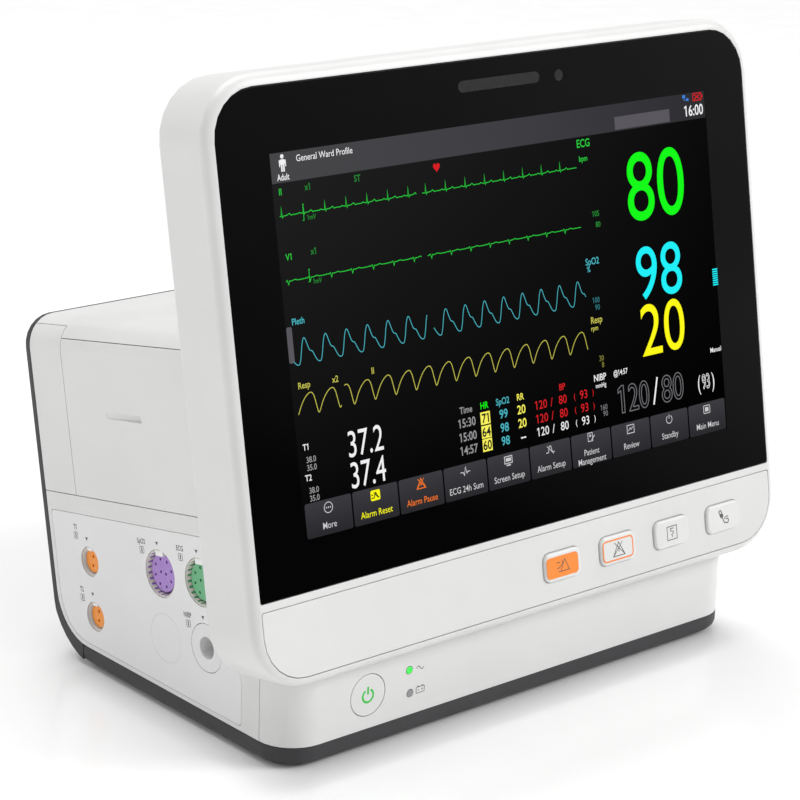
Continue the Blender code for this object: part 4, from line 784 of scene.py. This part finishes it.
label_film = moulded("label_film", srgb(234, 234, 234), 0.42, 0.000001)
finished("connector_overlay", label_film, 0.0001, pierced=True, swell=0.00012)
socket_places = {"temperature_socket_1": (127.8, -89.4, 5.8), "temperature_socket_2": (128.0, -111.5, 5.8),
                 "spo2_socket": (80.3, -88.2, 9.2), "ecg_socket": (55.0, -88.3, 9.2)}
socket_colours = {"temperature_socket_1": (252, 150, 28), "temperature_socket_2": (252, 150, 28),
                  "spo2_socket": (168, 128, 206), "ecg_socket": (96, 178, 124)}
body_half_width = 117.6
collar_sides = 48
gloss = {}
white_gloss = moulded("white_gloss", srgb(244, 244, 243), 0.25, 0.0000005)
pale_gloss = moulded("pale_gloss", srgb(214, 208, 202), 0.25, 0.0000005)
for name, (depth, height, radius) in socket_places.items():
    colour = socket_colours[name]
    if colour not in gloss:
        gloss[colour] = moulded("socket_" + "_".join(map(str, colour)), srgb(*colour), 0.28, 0.000001)
    finished(name, gloss[colour], 0.0001)
    collar = bmesh.new()
    rings = []
    for across, deep in ((radius + 0.02, 0.57), (radius - 0.65, 0.57), (radius - 0.65, 4.9)):
        outline = disc(depth, height, across, collar_sides)[0]
        x = (deep - body_half_width) / 1000
        rings.append([collar.verts.new((x, a / 1000, b / 1000)) for a, b in outline])
    for outer, inner in zip(rings, rings[1:]):
        for k in range(collar_sides):
            after = (k + 1) % collar_sides
            collar.faces.new((outer[k], inner[k], inner[after], outer[after])).smooth = True
    collar.transform(HEAD)
    collar_mesh = bpy.data.meshes.new(name + "_collar")
    collar.to_mesh(collar_mesh)
    collar.free()
    own(name + "_collar", collar_mesh, pale_gloss, "root")
    tab = radius * 0.26
    low = (0.4 - body_half_width, depth - tab, height + radius * 0.72)
    high = (4.9 - body_half_width, depth + tab, height + radius * 0.97)
    blocks(name + "_key", [(low, high)], HEAD, white_gloss)
finished("pressure_blank", label_film, 0.0001, swell=0.00014)
finished("cuff_port", moulded("port_plastic", srgb(232, 232, 232), 0.4), 0.0003)

TO_LEFT = Matrix(((0, 0, -1, 0), (-1, 0, 0, 0), (0, 1, 0, 0), (0, 0, 0, 1)))
film_face = -body_half_width / 1000 - 1.5 * PRINT_LIFT
left_side = HEAD @ Matrix.Translation((film_face, 0, 0)) @ TO_LEFT
film_print = moulded("film_print", srgb(72, 72, 74), 0.5, 0.000001)
marks = []
for text, depth, height in (("T1", 135.5, -76.2), ("T2", 135.6, -101.2), ("SpO2", 90.6, -76.7),
                            ("ECG", 65.7, -76.6), ("NIBP", 65.0, -101.8)):
    across = -depth
    marks.append(words(text, across, height, 2.0, 0.8))
    low = height - 3.4
    marks.append(line(panel(across - 1.25, across + 1.25, low - 1.25, low + 1.25, 0.4, 2)[0], 0.22, True))
    marks.append(disc(across, low + 0.45, 0.42, 10))
    marks.append(line([(across, low), (across, low - 0.8)], 0.7))
for depth, height in ((128.2, -80.3), (128.2, -102.4), (80.4, -76.5), (55.3, -76.6), (55.3, -101.6)):
    arrow = [(-depth - 0.9, height + 0.6), (-depth, height - 0.8), (-depth + 0.9, height + 0.6)]
    marks.append((arrow, [(0, 1, 2)]))
sheet("socket_names", film_print, marks, left_side, "root")


# ---- Power button and status lights ------------------------------------------------------------
# A round button flush in the chin carries the green standby sign.  Beside it two light pipes
# show mains power, lit green, and battery charge, dark here.

finished("power_button", white_lacquer, 0.0002)
finished("status_light_pipe", milky, 0.0002)
chin_depth = -0.0130
on_chin = BODY @ Matrix.Translation((0, chin_depth - PRINT_LIFT, 0)) @ TO_FRONT

standby_green, standby_tree, standby_shader = new_finish("standby_green", srgb(26, 172, 44), 0.4)
tone(standby_tree, standby_shader.inputs["Base Color"], noise(standby_tree, 400, 1),
     ((0.3, srgb(24, 166, 42)), (0.7, srgb(30, 182, 48))))
# painted light: the printed sign is given a faint glow of its own, though it is no lamp
standby_shader.inputs["Emission Color"].default_value = (*srgb(20, 190, 40), 1)
standby_shader.inputs["Emission Strength"].default_value = 0.25
turn = [0.5 + (2 * math.pi - 1.0) * k / 32 for k in range(33)]
x, z = -79.3, 21.9
arc = [(x + 2.5 * math.sin(a), z - 0.3 + 2.5 * math.cos(a)) for a in turn]
sheet("standby_sign", standby_green, [line(arc, 0.85), line([(x, z + 0.2), (x, z + 3.3)], 0.85)],
      on_chin, nodes["power_button"]["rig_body"])
mains_lamp, mains_tree, mains_shader = new_finish("mains_lamp", srgb(30, 200, 50), 0.3)
between(mains_tree, noise(mains_tree, 600, 1), 0.75, 0.95, mains_shader.inputs["Emission Strength"])
mains_shader.inputs["Emission Color"].default_value = (*srgb(40, 226, 62), 1)
sheet("mains_light", mains_lamp, [disc(-59.4, 26.6, 1.38)], on_chin, "root")
dark_lamp = moulded("charge_lamp", srgb(142, 142, 144), 0.3)
sheet("charge_light", dark_lamp, [disc(-58.8, 17.2, 1.38)], on_chin, "root")
swing = [(-55.9 + 3.6 * k / 16, 26.4 + 0.75 * math.sin(2 * math.pi * k / 16)) for k in range(17)]
cell = [line(panel(-55.8, -51.8, 16.3, 18.7, 0.3, 2)[0], 0.28, True), panel(-55.2, -54.5, 18.7, 19.2),
        panel(-53.1, -52.4, 18.7, 19.2), line([(-55.2, 17.5), (-54.3, 17.5)], 0.25),
        line([(-53.3, 17.5), (-52.4, 17.5)], 0.25), line([(-52.85, 17.05), (-52.85, 17.95)], 0.25)]
sheet("status_signs", grey_print, [line(swing, 0.32)] + cell, on_chin, "root")


# ---- Base, rear cover and feet -----------------------------------------------------------------
# The lower tray and the rear cover are dark grey ABS with a coarse spark-eroded grain.  Four
# soft feet press into pockets under the tray.

dark_cover = moulded("dark_cover_grain", srgb(62, 62, 64), 0.5, 0.000006, 0.3)
finished("base_plate", dark_cover, 0.0003)
finished("rear_cover", dark_cover, 0.0003)
soft_rubber = moulded("soft_rubber", srgb(38, 38, 38), 0.8, 0.00001, 0.2)
for number in range(4):
    finished(f"foot_{number + 1}", soft_rubber, 0.0003)


# ---- Rear connectors ---------------------------------------------------------------------------
# The mains inlet is black polyester with plated blades, the network and USB jacks are tin-plated
# shells on one board, and the earth stud is plated brass.

black_plastic = moulded("black_plastic_grain", srgb(34, 34, 36), 0.42, 0.000003)
finished("power_inlet", black_plastic, 0.0002)
finished("interface_board", zinc_sheet, 0.0001)
finished("earth_stud", metal("plated_brass", srgb(214, 178, 104), 0.25), 0.0002)


# ---- Inside the body ---------------------------------------------------------------------------
# A folded steel frame carries the boards, the measuring module with its air pump, the speaker
# and the battery, a sleeved pack that slides in behind its door.

finished("main_frame", zinc_sheet, 0.0001)
finished("parameter_module", black_plastic, 0.0004)
finished("cuff_pump", metal("pump_can", srgb(120, 122, 126), 0.36), 0.0004)
finished("speaker", black_plastic, 0.0002)
sleeve = moulded("battery_sleeve", srgb(52, 58, 74), 0.38, 0.000002)
finished("battery_pack", sleeve, 0.0005)
finished("battery_door", white_lacquer, 0.0002)


# ---- Recorder ----------------------------------------------------------------------------------
# A strip printer: the paper roll drops into a black tub, the door carries the rubber platen
# that presses the paper on the thermal head.

finished("recorder_tub", black_plastic, 0.0002)
finished("print_head", metal("head_ceramic", srgb(158, 160, 164), 0.3), 0.0002)
finished("recorder_door", white_lacquer, 0.0002)
finished("platen_roller", soft_rubber, 0.0002)
thermal_paper, paper_tree, paper_shader = new_finish("thermal_paper", srgb(236, 234, 228), 0.75)
winding = paper_tree.nodes.new("ShaderNodeTexWave")
winding.wave_type = "RINGS"
winding.rings_direction = "Y"
winding.inputs["Scale"].default_value = 400
winding_place = paper_tree.nodes.new("ShaderNodeTexCoord")
winding_centre = paper_tree.nodes.new("ShaderNodeMapping")
winding_centre.inputs["Location"].default_value = [-c for c in HEAD @ Vector((0.0890, 0.0570, -0.0390))]
paper_tree.links.new(winding_place.outputs["Object"], winding_centre.inputs["Vector"])
paper_tree.links.new(winding_centre.outputs["Vector"], winding.inputs["Vector"])
tone(paper_tree, paper_shader.inputs["Base Color"], winding.outputs["Fac"],
     ((0.2, srgb(226, 224, 217)), (0.8, srgb(238, 236, 230))))
finished("paper_roll", thermal_paper, 0.0001)


# ---- Camera and light --------------------------------------------------------------------------
# A pale seamless floor under weak even light.  Three large soft lights stand overhead, to the
# right in front and to the left behind, so that the near corner falls into a soft shade.

scene = bpy.context.scene
scene.view_settings.view_transform = "Standard"
sky = bpy.data.worlds.new("studio")
sky.use_nodes = True
sky.node_tree.nodes["Background"].inputs["Color"].default_value = (1, 1, 1, 1)
sky.node_tree.nodes["Background"].inputs["Strength"].default_value = 0.49
scene.world = sky

floor_finish, floor_tree, floor_shader = new_finish("pale_floor", (0.985, 0.985, 0.985), 0.16)
between(floor_tree, noise(floor_tree, 30, 2), 0.14, 0.18, floor_shader.inputs["Roughness"])
floor_mesh = bpy.data.meshes.new("floor")
floor_mesh.from_pydata([(-9, -9, 0), (9, -9, 0), (9, 9, 0), (-9, 9, 0)], [], [(0, 1, 2, 3)])
floor_mesh.materials.append(floor_finish)
floor = bpy.data.objects.new("floor", floor_mesh)
scene.collection.objects.link(floor)


def soft_sun(name, place, strength, spread):
    lamp = bpy.data.lights.new(name, "SUN")
    lamp.energy = strength
    lamp.angle = math.radians(spread)
    sun = bpy.data.objects.new(name, lamp)
    sun.location = place
    sun.rotation_euler = Vector(place).to_track_quat("Z", "Y").to_euler()
    scene.collection.objects.link(sun)


soft_sun("overhead_light", (0.15, 0.5, 1.3), 1.92, 50)
soft_sun("right_light", (0.95, -0.95, 0.85), 1.5, 26)
soft_sun("left_light", (-0.9, 0.9, 0.6), 0.3, 40)

lens = bpy.data.cameras.new("camera")
lens.lens = 116.49
lens.sensor_width = 36
camera = bpy.data.objects.new("camera", lens)
azimuth, elevation, roll = math.radians(41.163), math.radians(17.350), math.radians(1.664)
camera.location = (-0.64592, -0.74199, 0.40721)
camera.rotation_euler = (Matrix.Rotation(-azimuth, 3, "Z") @ Matrix.Rotation(math.pi / 2 - elevation, 3, "X")
                         @ Matrix.Rotation(roll, 3, "Z")).to_euler()
scene.collection.objects.link(camera)
scene.camera = camera
